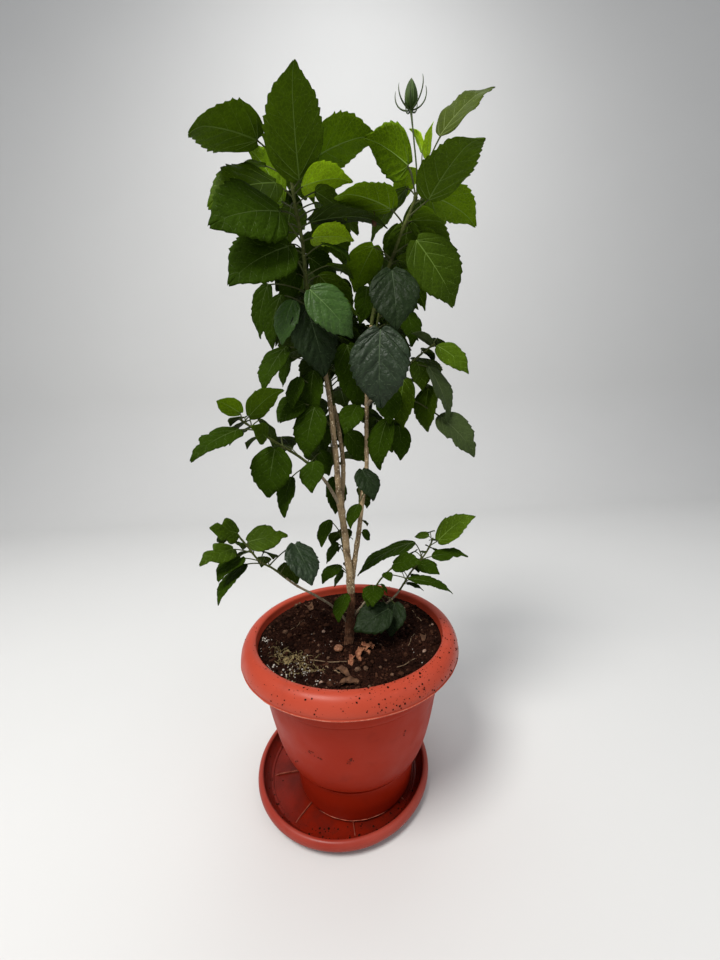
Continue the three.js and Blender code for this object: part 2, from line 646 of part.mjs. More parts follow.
// A leaf of the rule also stays off the leaves and the stem of its own mass, but for its stalk.
function addRuleLeaf(mass, leaf) {
  const foot = stalkFoot(leaf, mass.shoot.stem);
  const nearRoot = foot.lerp(vector(leaf.root), STALK_SHARED);
  if (clearOf(leafSolid(leaf, nearRoot, LEAF_MARGIN), [mass.solid])) addLeaf(mass, leaf);
}

for (const mass of masses) {
  if (mass.shoot.budded) mass.solid = mass.solid.add(bud());
  mass.shoot.leaves.map(leafRow).forEach((leaf) => addLeaf(mass, leaf));
}
for (const mass of masses) {
  ruleLeaves(mass.shoot.rule, mass.shoot.stem).forEach((leaf) => addRuleLeaf(mass, leaf));
}
masses.forEach((mass) => addPiece(mass.name, mass.solid, green));

export default shrub;
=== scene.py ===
# A potted hibiscus shrub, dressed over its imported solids.
# Lengths are in millimetres until a mesh is made. The frame is the one of the solids: +Z up, +X to
# the viewer's right, +Y away from the viewer, and the origin on the ground under the pot's axis.

import json
import math
from collections import namedtuple

import bpy
import numpy as np
from mathutils import Matrix, Vector

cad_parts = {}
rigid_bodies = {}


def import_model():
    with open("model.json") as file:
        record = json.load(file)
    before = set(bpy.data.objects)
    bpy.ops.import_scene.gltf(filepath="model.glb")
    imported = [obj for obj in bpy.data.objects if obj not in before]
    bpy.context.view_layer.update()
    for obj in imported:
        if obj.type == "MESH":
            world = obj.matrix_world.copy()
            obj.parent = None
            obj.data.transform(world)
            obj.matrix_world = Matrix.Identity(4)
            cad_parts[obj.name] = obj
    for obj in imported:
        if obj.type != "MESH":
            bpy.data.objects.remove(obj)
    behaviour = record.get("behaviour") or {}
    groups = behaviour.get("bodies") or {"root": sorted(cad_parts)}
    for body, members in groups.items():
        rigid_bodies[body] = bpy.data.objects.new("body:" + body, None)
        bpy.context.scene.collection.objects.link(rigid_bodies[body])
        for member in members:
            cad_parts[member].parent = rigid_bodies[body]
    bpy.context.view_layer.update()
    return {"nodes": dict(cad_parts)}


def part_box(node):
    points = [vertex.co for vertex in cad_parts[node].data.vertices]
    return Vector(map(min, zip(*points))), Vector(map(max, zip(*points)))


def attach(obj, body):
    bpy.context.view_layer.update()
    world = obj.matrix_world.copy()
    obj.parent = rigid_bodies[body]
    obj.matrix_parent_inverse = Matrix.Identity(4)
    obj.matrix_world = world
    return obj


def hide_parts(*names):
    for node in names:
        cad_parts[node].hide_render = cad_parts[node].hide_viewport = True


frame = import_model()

MM = 0.001
UP = np.array([0.0, 0.0, 1.0])

# Random phases are drawn up to this.
FULL_TURN = 6.28

# Each group of random draws has its own seed, so that a change to one leaves the others as they are.
SEEDS = {"blades": 7, "crumbs": 11, "grains": 12, "splashes": 13, "litter": 14, "withered bit": 15,
         "smudges": 16, "saucer dirt": 17}


def draws(thing):
    return np.random.default_rng(SEEDS[thing])


# Directions and points.

def unit(vectors):
    return vectors / np.linalg.norm(vectors, axis=-1, keepdims=True)


def direction(bearing, rise):
    b = math.radians(bearing)
    r = math.radians(rise)
    return np.array([math.cos(r) * math.cos(b), math.cos(r) * math.sin(b), math.sin(r)])


def steps_around(count):
    return np.arange(count) * 2 * np.pi / count


def on_circle(turns, radius):
    """Across and depth of points on a circle, as the last axis."""
    return np.stack([radius * np.cos(turns), radius * np.sin(turns)], -1)


def bulge(away, spread):
    """A bump of height 1 that fades on both sides."""
    return np.exp(-((away / spread) ** 2))


def drawn(random, bounds):
    """A random number from a least value up, by a spread."""
    least, spread = bounds
    return least + spread * random.random()


def ripples(seed, waves, shortest, longest):
    """A smooth field of about -1 to 1 over points, summed from waves in all directions."""
    random = np.random.default_rng(seed)
    directions = unit(random.normal(size=(waves, 3)))
    lengths = shortest * (longest / shortest) ** random.random(waves)
    phases = random.random(waves) * 2 * np.pi
    pulls = directions * (2 * np.pi / lengths)[:, None]

    def field(points):
        return np.sin(points @ pulls.T + phases).sum(-1) / math.sqrt(waves / 2) / 2
    return field


class Curve:
    """A smooth curve through its points, measured along its length from 0 to 1."""

    DIVISIONS = 200

    def __init__(self, route):
        route = np.asarray(route, float)
        before = route[0] * 2 - route[1]
        after = route[-1] * 2 - route[-2]
        self.points = np.vstack([before, route, after])
        self.spans = len(route) - 1
        self.shares = np.linspace(0, 1, self.DIVISIONS + 1)
        steps = np.diff(self.at_share(self.shares), axis=0)
        self.lengths = np.concatenate([[0], np.cumsum(np.linalg.norm(steps, axis=1))])
        self.length = self.lengths[-1]

    def at_share(self, shares):
        shares = np.atleast_1d(shares) * self.spans
        span = np.clip(np.floor(shares).astype(int), 0, self.spans - 1)
        t = (shares - span)[:, None]
        a, b, c, d = (self.points[span + k] for k in range(4))
        start = (c - a) / 2
        end = (d - b) / 2
        return b + start * t + (3 * (c - b) - 2 * start - end) * t ** 2 + (2 * (b - c) + start + end) * t ** 3

    def at(self, along):
        return self.at_share(np.interp(np.atleast_1d(along) * self.length, self.lengths, self.shares))


# Camera, at the photograph's place and angle.

CAMERA_PLACE = (0.0, -0.4925, 0.5096)
CAMERA_DOWN = 7.95
CAMERA_TURN = 2.61
CAMERA_ROLL = 2.14
CAMERA_LENS = 13.755
CAMERA_SENSOR = 36.0
CAMERA_RANGE = (0.01, 60.0)


def place_in_scene(name, data):
    thing = bpy.data.objects.new(name, data)
    bpy.context.scene.collection.objects.link(thing)
    return thing


def make_camera():
    ahead = direction(90 - CAMERA_TURN, -CAMERA_DOWN)
    level = direction(-CAMERA_TURN, 0)
    below = np.cross(ahead, level)
    roll = math.radians(CAMERA_ROLL)
    right = level * math.cos(roll) + below * math.sin(roll)
    upper = level * math.sin(roll) - below * math.cos(roll)
    data = bpy.data.cameras.new("camera")
    data.lens = CAMERA_LENS
    data.sensor_width = CAMERA_SENSOR
    data.clip_start, data.clip_end = CAMERA_RANGE
    camera = place_in_scene("camera", data)
    turned_and_placed = np.column_stack([right, upper, -ahead, CAMERA_PLACE])
    camera.matrix_world = Matrix([*turned_and_placed.tolist(), (0.0, 0.0, 0.0, 1.0)])
    bpy.context.scene.camera = camera


# Meshes. A shape is its points and its triangles, and a piece is one or more closed shapes.

class Heap:
    """Closed shapes that are joined into one piece. Each face has the number of its paint."""

    def __init__(self):
        self.points = []
        self.faces = []
        self.numbers = []
        self.count = 0
        self.nodes = set()

    def add(self, points, faces, number=0):
        """Adds a shape. The number is one for all its faces, or one for each of them."""
        self.points.append(np.asarray(points, float).reshape(-1, 3))
        self.faces.append(np.asarray(faces, int) + self.count)
        self.numbers.append(np.full(len(faces), number, int))
        self.count += len(self.points[-1])

    def size(self):
        return sum(len(faces) for faces in self.faces)

    def make(self, name, paints, slot, nodes=()):
        points = np.concatenate(self.points) * MM
        faces = np.concatenate(self.faces)
        numbers = np.concatenate(self.numbers)
        mesh = bpy.data.meshes.new(name)
        mesh.vertices.add(len(points))
        mesh.vertices.foreach_set("co", points.astype(np.float32).ravel())
        mesh.loops.add(3 * len(faces))
        mesh.loops.foreach_set("vertex_index", faces.astype(np.int32).ravel())
        mesh.polygons.add(len(faces))
        mesh.polygons.foreach_set("loop_start", np.arange(0, 3 * len(faces), 3, dtype=np.int32))
        for paint in paints:
            mesh.materials.append(PAINTS[paint])
        mesh.polygons.foreach_set("material_index", numbers.astype(np.int32))
        mesh.polygons.foreach_set("use_smooth", np.ones(len(faces), bool))
        mesh.update(calc_edges=True)
        mesh.validate()
        piece = place_in_scene(name, mesh)
        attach(piece, "root")
        stood_for = sorted(set(nodes) | self.nodes)
        if stood_for:
            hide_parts(*stood_for)


def make_piece(name, shapes, paints, slot, nodes=()):
    heap = Heap()
    for shape in shapes:
        heap.add(*shape)
    heap.make(name, paints, slot, nodes)


def grid_faces(rows, columns, wrap=False):
    """Two triangles for every cell of a grid of points."""
    cells = columns if wrap else columns - 1
    row, column = np.meshgrid(np.arange(rows - 1), np.arange(cells), indexing="ij")
    a = (row * columns + column).ravel()
    b = (row * columns + (column + 1) % columns).ravel()
    return np.concatenate([
        np.stack([a, b, b + columns], 1),
        np.stack([a, b + columns, a + columns], 1),
    ])


def sheet_faces(rows, columns, all_round=True):
    """Faces of a thin sheet, an upper grid, an under grid and the band between, and which aren't upper.

    The band leaves out the first column where it doesn't go all round.
    """
    upper = grid_faces(rows, columns)
    count = rows * columns
    grid = np.arange(count).reshape(rows, columns)
    edge = [grid[0], grid[1:, -1], grid[-1, -2::-1]]
    if all_round:
        edge.append(grid[-2::-1, 0])
    edge = np.concatenate(edge)
    a = edge[:-1]
    b = edge[1:]
    band = np.stack([a, b, b + count, a, b + count, a + count], 1).reshape(-1, 3)
    faces = np.concatenate([upper[:, ::-1], upper + count, band])
    return faces, np.arange(len(faces)) >= len(upper)


def closed_rings(rings, start, end):
    """Rings of points that are joined in turn, with a fan to one point at either end."""
    count, sides = rings.shape[:2]
    here = np.arange(sides)
    after = (here + 1) % sides
    last = count * sides
    faces = [
        grid_faces(count, sides, wrap=True),
        np.stack([here * 0 + last, after, here], 1),
        np.stack([here * 0 + last + 1, last - sides + here, last - sides + after], 1),
    ]
    return np.concatenate([rings.reshape(-1, 3), [start, end]]), np.concatenate(faces)


def cross_frames(points):
    """Two directions across a line at each of its points, turned as little as possible."""
    ahead = unit(np.gradient(points, axis=0))
    start = np.array([1.0, 0.0, 0.0]) if abs(ahead[0, 0]) < 0.7 else np.array([0.0, 1.0, 0.0])
    across = np.empty_like(points)
    for i in range(len(points)):
        start = start - ahead[i] * (start @ ahead[i])
        start = start / np.linalg.norm(start)
        across[i] = start
    return across, np.cross(ahead, across)


def tube(points, radii, sides):
    """A closed tube. The radii are one for each ring, or one for each ring and side."""
    points = np.asarray(points, float)
    across, third = cross_frames(points)
    radii = np.asarray(radii, float).reshape(len(points), -1)[..., None]
    places = on_circle(steps_around(sides), 1.0)
    rings = (
        points[:, None, :]
        + across[:, None, :] * (radii * places[:, :1])
        + third[:, None, :] * (radii * places[:, 1:])
    )
    return closed_rings(rings, points[0], points[-1])


def turned(profile, segments):
    """A closed turned shape. Its profile starts and ends on the axis and runs outward first."""
    profile = np.asarray(profile, float)
    radii, heights = profile[1:-1, :, None].transpose(1, 0, 2)
    turns = steps_around(segments)
    rings = np.stack([radii * np.cos(turns), radii * np.sin(turns), heights + 0 * turns], -1)
    return closed_rings(rings, (0, 0, profile[0, 1]), (0, 0, profile[-1, 1]))


def rounded(profile, times=2):
    """The profile with its corners cut, so that it runs in soft curves. The ends stay."""
    profile = np.asarray(profile, float)
    for _ in range(times):
        before = profile[:-1] * 0.75 + profile[1:] * 0.25
        after = profile[:-1] * 0.25 + profile[1:] * 0.75
        cut = np.stack([before, after], 1).reshape(-1, 2)
        profile = np.concatenate([profile[:1], cut[1:-1], profile[-1:]])
    return profile


def twice(points):
    """Each point twice, so that rounding keeps the edge there."""
    return [point for point in points for _ in range(2)]


def ball(rounds):
    """Points and faces of a ball of radius 1: an icosahedron, with its faces cut in four each round."""
    golden = (1 + 5 ** 0.5) / 2
    points = [(-1, golden, 0), (1, golden, 0), (-1, -golden, 0), (1, -golden, 0),
              (0, -1, golden), (0, 1, golden), (0, -1, -golden), (0, 1, -golden),
              (golden, 0, -1), (golden, 0, 1), (-golden, 0, -1), (-golden, 0, 1)]
    faces = [(0, 11, 5), (0, 5, 1), (0, 1, 7), (0, 7, 10), (0, 10, 11), (1, 5, 9), (5, 11, 4),
             (11, 10, 2), (10, 7, 6), (7, 1, 8), (3, 9, 4), (3, 4, 2), (3, 2, 6), (3, 6, 8),
             (3, 8, 9), (4, 9, 5), (2, 4, 11), (6, 2, 10), (8, 6, 7), (9, 8, 1)]
    points = [unit(np.array(point, float)) for point in points]
    for _ in range(rounds):
        finer = []
        known = {}
        for face in faces:
            halves = []
            for one, other in zip(face, face[1:] + face[:1]):
                key = (min(one, other), max(one, other))
                if key not in known:
                    known[key] = len(points)
                    points.append(unit(points[one] + points[other]))
                halves.append(known[key])
            a, b, c = face
            ab, bc, ca = halves
            finer += [(a, ab, ca), (b, bc, ab), (c, ca, bc), (ab, bc, ca)]
        faces = finer
    return np.array(points), np.array(faces)


BALLS = [ball(rounds) for rounds in range(3)]
LUMP_ROUGHNESS = 0.28


def lump(random, place, size, rounds, flat, number=0):
    """A rough crumb, turned at random and then pressed flat by its share."""
    points, faces = BALLS[rounds]
    points = points * (1 + LUMP_ROUGHNESS * (random.random(len(points)) - 0.5))[:, None]
    stretch = size * (0.75 + 0.5 * random.random(3))
    spin, _ = np.linalg.qr(random.normal(size=(3, 3)))
    points = (points * stretch) @ spin.T * [1, 1, flat]
    return points + place, faces, number


# Paints.

PAINTS = {}


class Paint:
    """A material in the making: short ways to add and join its nodes."""

    def __init__(self, name):
        PAINTS[name] = bpy.data.materials.new(name)
        PAINTS[name].use_nodes = True
        self.tree = PAINTS[name].node_tree
        self.shader = self.tree.nodes["Principled BSDF"]
        self.place = self.node("ShaderNodeTexCoord").outputs["Object"]

    def node(self, kind, **values):
        node = self.tree.nodes.new(kind)
        for name, value in values.items():
            node.inputs[name.replace("_", " ").title()].default_value = value
        return node

    def put(self, value, socket):
        """Gives a socket a colour or a number of its own, or another node's output."""
        if isinstance(value, tuple):
            socket.default_value = (*value, 1.0)
        elif isinstance(value, float):
            socket.default_value = value
        else:
            self.tree.links.new(value, socket)

    def texture(self, kind, output, place, **values):
        node = self.node("ShaderNodeTex" + kind, **values)
        self.put(place or self.place, node.inputs["Vector"])
        return node.outputs[output]

    def stretched(self, scale):
        mapping = self.node("ShaderNodeMapping", scale=scale)
        self.put(self.place, mapping.inputs["Vector"])
        return mapping.outputs["Vector"]

    def noise(self, scale, detail=2.0, roughness=0.5, place=None):
        return self.texture("Noise", "Fac", place, scale=scale, detail=detail, roughness=roughness)

    def spots(self, scale, place=None):
        return self.texture("Voronoi", "Distance", place, scale=scale)

    def threads(self, scale):
        """How far a spot lies from the walls between cells: near 0 along a net of fine lines."""
        distance = self.spots(scale)
        distance.node.feature = "DISTANCE_TO_EDGE"
        return distance

    def height(self):
        node = self.node("ShaderNodeSeparateXYZ")
        self.put(self.place, node.inputs["Vector"])
        return node.outputs["Z"]

    def ramp(self, value, low, high, start=0.0, end=1.0):
        node = self.node("ShaderNodeMapRange", from_min=low, from_max=high, to_min=start, to_max=end)
        self.put(value, node.inputs["Value"])
        return node.outputs["Result"]

    def blend(self, share, one, other):
        node = self.node("ShaderNodeMix")
        node.data_type = "RGBA"
        self.put(share, node.inputs["Factor"])
        self.put(one, node.inputs["A"])
        self.put(other, node.inputs["B"])
        return node.outputs["Result"]

    def skin(self, colour, rough, shine=None):
        self.put(colour, self.shader.inputs["Base Color"])
        self.put(rough, self.shader.inputs["Roughness"])
        if shine is not None:
            self.put(shine, self.shader.inputs["Specular IOR Level"])

    def bump(self, value, depth):
        """A relief in the shading, its depth in millimetres."""
        node = self.node("ShaderNodeBump", strength=1.0, distance=depth * MM)
        self.put(value, node.inputs["Height"])
        normal = self.shader.inputs["Normal"]
        if normal.links:
            self.put(normal.links[0].from_socket, node.inputs["Normal"])
        self.put(node.outputs["Normal"], normal)


def shade(colour, factor):
    return tuple(min(1.0, channel * factor) for channel in colour)


def leaf_paint(name, colour, rough, shine, net, relief):
    """Leaf skin: a green that wanders from leaf to leaf and within one, with a fine net of veins."""
    paint = Paint(name)
    PAINTS[name].diffuse_color = (*colour, 1.0)
    broad = paint.ramp(paint.noise(16.0, 1.0), 0.3, 0.7)
    skin = paint.blend(broad, shade(colour, 0.82), shade(colour, 1.2))
    fine = paint.ramp(paint.noise(120.0, 3.0), 0.4, 0.7, 0.0, 0.55)
    skin = paint.blend(fine, skin, shade(colour, 0.68))
    threads = paint.ramp(paint.threads(250.0), 0.0, 0.09, net, 0.0)
    skin = paint.blend(threads, skin, shade(colour, 1.9))
    paint.skin(skin, paint.ramp(paint.noise(90.0, 2.0), 0.3, 0.7, rough - 0.05, rough + 0.1), shine)
    paint.bump(paint.ramp(paint.threads(170.0), 0.0, 0.5), relief)
    paint.bump(paint.ramp(paint.threads(400.0), 0.0, 0.5), relief * 0.3)


def vein_paint(name, colour):
    paint = Paint(name)
    paint.skin(paint.blend(paint.noise(200.0), shade(colour, 0.85), shade(colour, 1.12)), 0.55, 0.15)
    paint.bump(paint.noise(1500.0), 0.05)


def bark_paint(name, colour, dark, pale, pores):
    """Bark: streaks along the stem, darker and paler lengths, pale pores and fine cracks."""
    paint = Paint(name)
    streaks = paint.ramp(paint.noise(650.0, 4.0, 0.6, paint.stretched((1.0, 1.0, 0.22))), 0.35, 0.62)
    skin = paint.blend(streaks, dark, colour)
    lengths = paint.ramp(paint.noise(38.0, 3.0), 0.4, 0.6, 0.0, 0.7)
    skin = paint.blend(lengths, skin, shade(colour, 1.45))
    stains = paint.ramp(paint.noise(85.0, 4.0), 0.58, 0.7, 0.0, 0.7)
    skin = paint.blend(stains, skin, dark)
    dots = paint.ramp(paint.spots(330.0, paint.stretched((1.0, 1.0, 0.7))), 0.28, 0.16, 0.0, pores)
    paint.skin(paint.blend(dots, skin, pale), paint.ramp(streaks, 0.0, 1.0, 0.95, 0.75), 0.15)
    paint.bump(streaks, 0.25)
    paint.bump(paint.noise(1400.0, 3.0), 0.12)


# Painted shade on the pot's foot, which is darker and redder: the heights in metres between which it fades,
# and its channels.
FOOT_SHADE_FADE = (0.115, 0.045)
FOOT_SHADE_CHANNELS = (1.0, 0.8, 0.65)


def plastic_paint(name, colour, dusty, rough, grime, scuffed, shine, low=1.0):
    """Moulded plastic: dusty patches, thin grime, soft scuffs, and painted shade that darkens the foot where
    low is below 1.
    """
    paint = Paint(name)
    skin = paint.blend(paint.ramp(paint.noise(9.0, 4.0, 0.55), 0.35, 0.7), colour, dusty)
    # Painted shade: the foot fades to a darker, redder colour.
    if low < 1.0:
        foot = tuple(channel * low * share for channel, share in zip(colour, FOOT_SHADE_CHANNELS))
        skin = paint.blend(paint.ramp(paint.height(), *FOOT_SHADE_FADE), skin, foot)
    dirt = paint.ramp(paint.noise(38.0, 5.0, 0.65), 0.56, 0.78, 0.0, grime)
    skin = paint.blend(dirt, skin, shade(colour, 0.4))
    streaks = paint.noise(150.0, 3.0, 0.5, paint.stretched((0.6, 0.6, 3.0)))
    skin = paint.blend(paint.ramp(streaks, 0.66, 0.78, 0.0, scuffed), skin, shade(dusty, 1.5))
    paint.skin(skin, paint.ramp(paint.noise(30.0, 4.0), 0.3, 0.7, rough - 0.07, rough + 0.12), shine)
    paint.bump(paint.noise(900.0, 2.0), 0.06)
    paint.bump(paint.noise(16.0, 2.0), 0.5)


def wet_plastic_paint(name, colour, stained, muddy):
    """The saucer's inside: wet, dark, with brown stains and dried soil."""
    paint = Paint(name)
    stain = paint.ramp(paint.noise(26.0, 5.0, 0.65), 0.38, 0.66)
    mud = paint.ramp(paint.noise(70.0, 6.0, 0.7), 0.6, 0.72, 0.0, 0.8)
    skin = paint.blend(mud, paint.blend(stain, colour, stained), muddy)
    paint.skin(skin, paint.ramp(stain, 0.0, 1.0, 0.3, 0.5), 0.2)
    paint.bump(paint.noise(120.0, 4.0), 0.3)


def soil_paint(name, dark, light):
    paint = Paint(name)
    skin = paint.blend(paint.ramp(paint.noise(420.0, 6.0, 0.7), 0.42, 0.66), dark, light)
    damp = paint.ramp(paint.noise(24.0, 3.0), 0.4, 0.65, 0.0, 0.7)
    paint.skin(paint.blend(damp, skin, shade(dark, 0.6)), 0.95, 0.05)
    paint.bump(paint.noise(700.0, 6.0, 0.75), 1.2)
    paint.bump(paint.spots(500.0), 0.8)


def plain_paint(name, colour, other, scale, rough, depth):
    """Any small dry thing: two colours that wander into each other, with a little relief."""
    paint = Paint(name)
    mottle = paint.noise(scale, 4.0, 0.6)
    paint.skin(paint.blend(paint.ramp(mottle, 0.35, 0.65), colour, other), rough, 0.2)
    paint.bump(mottle, depth)


# The looks of leaves: the colours of the upper skin, the under skin and the veins, then roughness and
# shine, the swelling between side veins in parts of the length, the rucks in millimetres, the fold
# along the mid vein and the relief of the skin in millimetres.
Look = namedtuple("Look", "upper under vein rough shine quilt rucks fold relief")
# The greens are partly the leaves' own and partly painted light: the lightest look is painted lighter to
# stand in for light shining through young leaves, the under skins are lighter partly by their own paler green
# and partly as painted light through the leaves, and the dark look, which most shoots give their leaves, also
# paints shade into the crown's inside.
LOOKS = {
    "bright": Look((0.125, 0.205, 0.004), (0.33, 0.52, 0.01), (0.33, 0.5, 0.04),
                   0.55, 0.04, 0.007, 0.25, 0.08, 0.25),
    "mid": Look((0.046, 0.084, 0.002), (0.094, 0.168, 0.002), (0.15, 0.24, 0.032),
                0.6, 0.04, 0.009, 0.3, 0.06, 0.35),
    "olive": Look((0.030, 0.056, 0.001), (0.050, 0.091, 0.002), (0.102, 0.165, 0.022),
                  0.58, 0.05, 0.010, 0.35, 0.05, 0.4),
    "dark": Look((0.017, 0.035, 0.001), (0.021, 0.038, 0.002), (0.05, 0.082, 0.012),
                 0.7, 0.02, 0.011, 0.5, 0.04, 0.5),
    "deep": Look((0.010, 0.020, 0.005), (0.014, 0.026, 0.006), (0.034, 0.054, 0.022),
                 0.5, 0.1, 0.02, 1.7, -0.04, 0.5),
    "sheen": Look((0.013, 0.026, 0.009), (0.030, 0.050, 0.018), (0.06, 0.088, 0.045),
                  0.48, 0.26, 0.022, 1.9, 0.0, 0.5),
    "gloss": Look((0.029, 0.072, 0.008), (0.035, 0.07, 0.012), (0.10, 0.17, 0.05),
                  0.42, 0.24, 0.012, 0.6, 0.06, 0.4),
    "pale": Look((0.034, 0.052, 0.013), (0.05, 0.072, 0.022), (0.075, 0.10, 0.035),
                 0.6, 0.1, 0.004, 0.3, 0.15, 0.4),
    "light": Look((0.042, 0.062, 0.004), (0.042, 0.062, 0.004), (0.12, 0.16, 0.035),
                  0.6, 0.04, 0.003, 0.15, 0.15, 0.2),
}

# How much the veins' net shows on the upper and on the under skin, and the under skin's shine,
# relief and added roughness.
UPPER_NET = 0.35
UNDER_NET = 0.5
UNDER_SHINE = 0.05
UNDER_RELIEF = 0.3
UNDER_ROUGHER = 0.1

# Bark: its colour, its cracks, its pores and how much the pores show.
BARK_PAINTS = {
    "bark_grey": ((0.31, 0.225, 0.125), (0.085, 0.054, 0.027), (0.68, 0.57, 0.40), 0.9),
    "bark_red": ((0.125, 0.055, 0.027), (0.045, 0.019, 0.010), (0.30, 0.19, 0.12), 0.5),
    "bark_thin": ((0.23, 0.185, 0.12), (0.08, 0.06, 0.035), (0.5, 0.44, 0.33), 0.5),
    "bark_young": ((0.055, 0.066, 0.014), (0.024, 0.027, 0.006), (0.18, 0.18, 0.08), 0.4),
}

# Plastic: its colour, its dusty colour, roughness, grime, scuffs, shine and the foot's share of painted
# shade.
PLASTIC_PAINTS = {
    "pot_clay_red": ((0.32, 0.017, 0.003), (0.36, 0.025, 0.007), 0.42, 0.3, 0.2, 0.1, 0.77),
    "rim_clay_red": ((0.38, 0.042, 0.017), (0.42, 0.056, 0.028), 0.34, 0.3, 0.3, 0.18),
    "saucer_red": ((0.27, 0.026, 0.014), (0.33, 0.052, 0.034), 0.36, 0.3, 0.3, 0.22),
}
SAUCER_INSIDE = ((0.165, 0.008, 0.002), (0.085, 0.005, 0.0015), (0.035, 0.010, 0.004))

# Soil: its dark and its light grains.
SOIL_PAINTS = {
    "soil_dark": ((0.011, 0.0035, 0.002), (0.045, 0.016, 0.009)),
    "crumb_dark": ((0.010, 0.0035, 0.002), (0.035, 0.013, 0.007)),
    "crumb_brown": ((0.045, 0.017, 0.009), (0.09, 0.040, 0.022)),
    "crumb_tan": ((0.11, 0.058, 0.034), (0.22, 0.13, 0.085)),
}

# Small things: two colours, the scale of the pattern, roughness and the relief in millimetres.
PLAIN_PAINTS = {
    "bud_green": ((0.014, 0.036, 0.001), (0.034, 0.066, 0.003), 240.0, 0.7, 0.06),
    "bud_ridge": ((0.07, 0.11, 0.03), (0.10, 0.15, 0.045), 300.0, 0.5, 0.05),
    "bract_green": ((0.028, 0.046, 0.008), (0.045, 0.07, 0.014), 300.0, 0.5, 0.05),
    "pot_smudge": ((0.15, 0.018, 0.008), (0.10, 0.016, 0.009), 200.0, 0.8, 0.2),
    # A pale paint for the rim's seam, partly a painted highlight, and for the painted highlight on the pot's
    # base edge.
    "worn_edge": ((0.40, 0.06, 0.03), (0.50, 0.17, 0.11), 300.0, 0.6, 0.2),
    "saucer_rib": ((0.17, 0.022, 0.010), (0.30, 0.085, 0.05), 140.0, 0.4, 0.1),
    "white_grain": ((0.22, 0.19, 0.15), (0.55, 0.51, 0.45), 400.0, 0.9, 0.3),
    "pale_stone": ((0.20, 0.11, 0.08), (0.36, 0.26, 0.19), 500.0, 0.8, 0.3),
    "brown_shell": ((0.12, 0.042, 0.02), (0.30, 0.14, 0.075), 420.0, 0.5, 0.2),
    "dry_flower": ((0.14, 0.040, 0.020), (0.34, 0.15, 0.075), 190.0, 0.8, 0.4),
    "dry_moss": ((0.11, 0.075, 0.03), (0.26, 0.20, 0.09), 300.0, 0.9, 0.3),
    "dry_twig": ((0.11, 0.07, 0.038), (0.25, 0.17, 0.10), 400.0, 0.85, 0.2),
    "dead_leaf": ((0.045, 0.020, 0.010), (0.13, 0.062, 0.03), 160.0, 0.75, 0.4),
}


def make_paints():
    for kind, look in LOOKS.items():
        leaf_paint("leaf_upper_" + kind, look.upper, look.rough, look.shine, UPPER_NET, look.relief)
        leaf_paint("leaf_under_" + kind, look.under, look.rough + UNDER_ROUGHER, UNDER_SHINE, UNDER_NET,
                   UNDER_RELIEF)
        vein_paint("leaf_vein_" + kind, look.vein)
    vein_paint("leaf_stalk", (0.055, 0.065, 0.018))
    wet_plastic_paint("saucer_inside", *SAUCER_INSIDE)
    for make_paint, rows in ((bark_paint, BARK_PAINTS), (plastic_paint, PLASTIC_PAINTS),
                             (soil_paint, SOIL_PAINTS), (plain_paint, PLAIN_PAINTS)):
        for name, row in rows.items():
            make_paint(name, *row)


# Growth. The routes, the listed leaves and the dealt ones are those of the solids.

GOLDEN_ANGLE = 137.5
LEAF_WIDEST = 0.37
LEAF_POINTED = 0.85
LEAF_ARCH = 0.06
TAPER = 1.4
FLARE_FADE = 14

# Where on the leafy part of a stem a stalk may stand, its usual rise, and the millimetres of its length
# and the degrees of its rise that count alike in the choice.
STALK_PARTS = np.linspace(0.12, 0.97, 41)
STALK_RISE = 35
STALK_SHORT = 20
STALK_STEEP = 40

# The middle of a blade, and how near to it the solid lies that has this leaf.
BLADE_MIDDLE = 0.42
SOLID_NEAR = 1.2

# Parts of a blade's length and of its half breadth at which other leaves keep off it.
MARKS_ALONG = (0.1, 0.3, 0.5, 0.7, 0.9)
MARKS_ACROSS = (-0.8, -0.4, 0.0, 0.4, 0.8)

# What the growth rule draws for a leaf, in this order: the least value and its spread.
LEAF_DRAWN = {
    "along": (0.3, 0.6),
    "stalk": (0.6, 0.8),
    "stalk_rise": (25, 25),
    "length": (0.75, 0.45),
    "turn": (-25, 50),
    "rise": (-10, -45),
    "roll": (-25, 50),
    "broad": (0.62, 0.14),
}

# A growth rule: how many leaves, the seed, the middle and half the width of their bearings, the reach
# of their stalks and the length of their blades.
Rule = namedtuple("Rule", "count seed facing fan reach size")

# Bites in listed leaves, by mass and number: which half (1 or -1), how far along the blade, how long
# and how deep, in parts of the blade's length and of its half breadth.
BITES = {
    ("foliage_ground_left", 0): ((1, 0.66, 0.09, 0.6), (-1, 0.5, 0.07, 0.35)),
    ("foliage_ground_left", 1): ((1, 0.55, 0.1, 0.55), (-1, 0.78, 0.06, 0.5)),
    ("foliage_ground_left", 2): ((-1, 0.72, 0.08, 0.5), (1, 0.85, 0.06, 0.5)),
    ("foliage_ground_far", 3): ((1, 0.6, 0.06, 0.45), (1, 0.8, 0.05, 0.4)),
    ("foliage_left_arm", 2): ((1, 0.7, 0.06, 0.4), (1, 0.45, 0.05, 0.3)),
    ("foliage_right_arm", 5): ((-1, 0.75, 0.05, 0.35), (1, 0.5, 0.05, 0.25)),
    ("foliage_right_arm", 4): ((1, 0.6, 0.05, 0.35), (1, 0.78, 0.05, 0.3)),
}


def seeded_numbers(seed):
    """A repeatable source of numbers from 0 to 1."""
    state = seed
    while True:
        state = (state * 16807) % 2147483647
        yield state / 2147483647


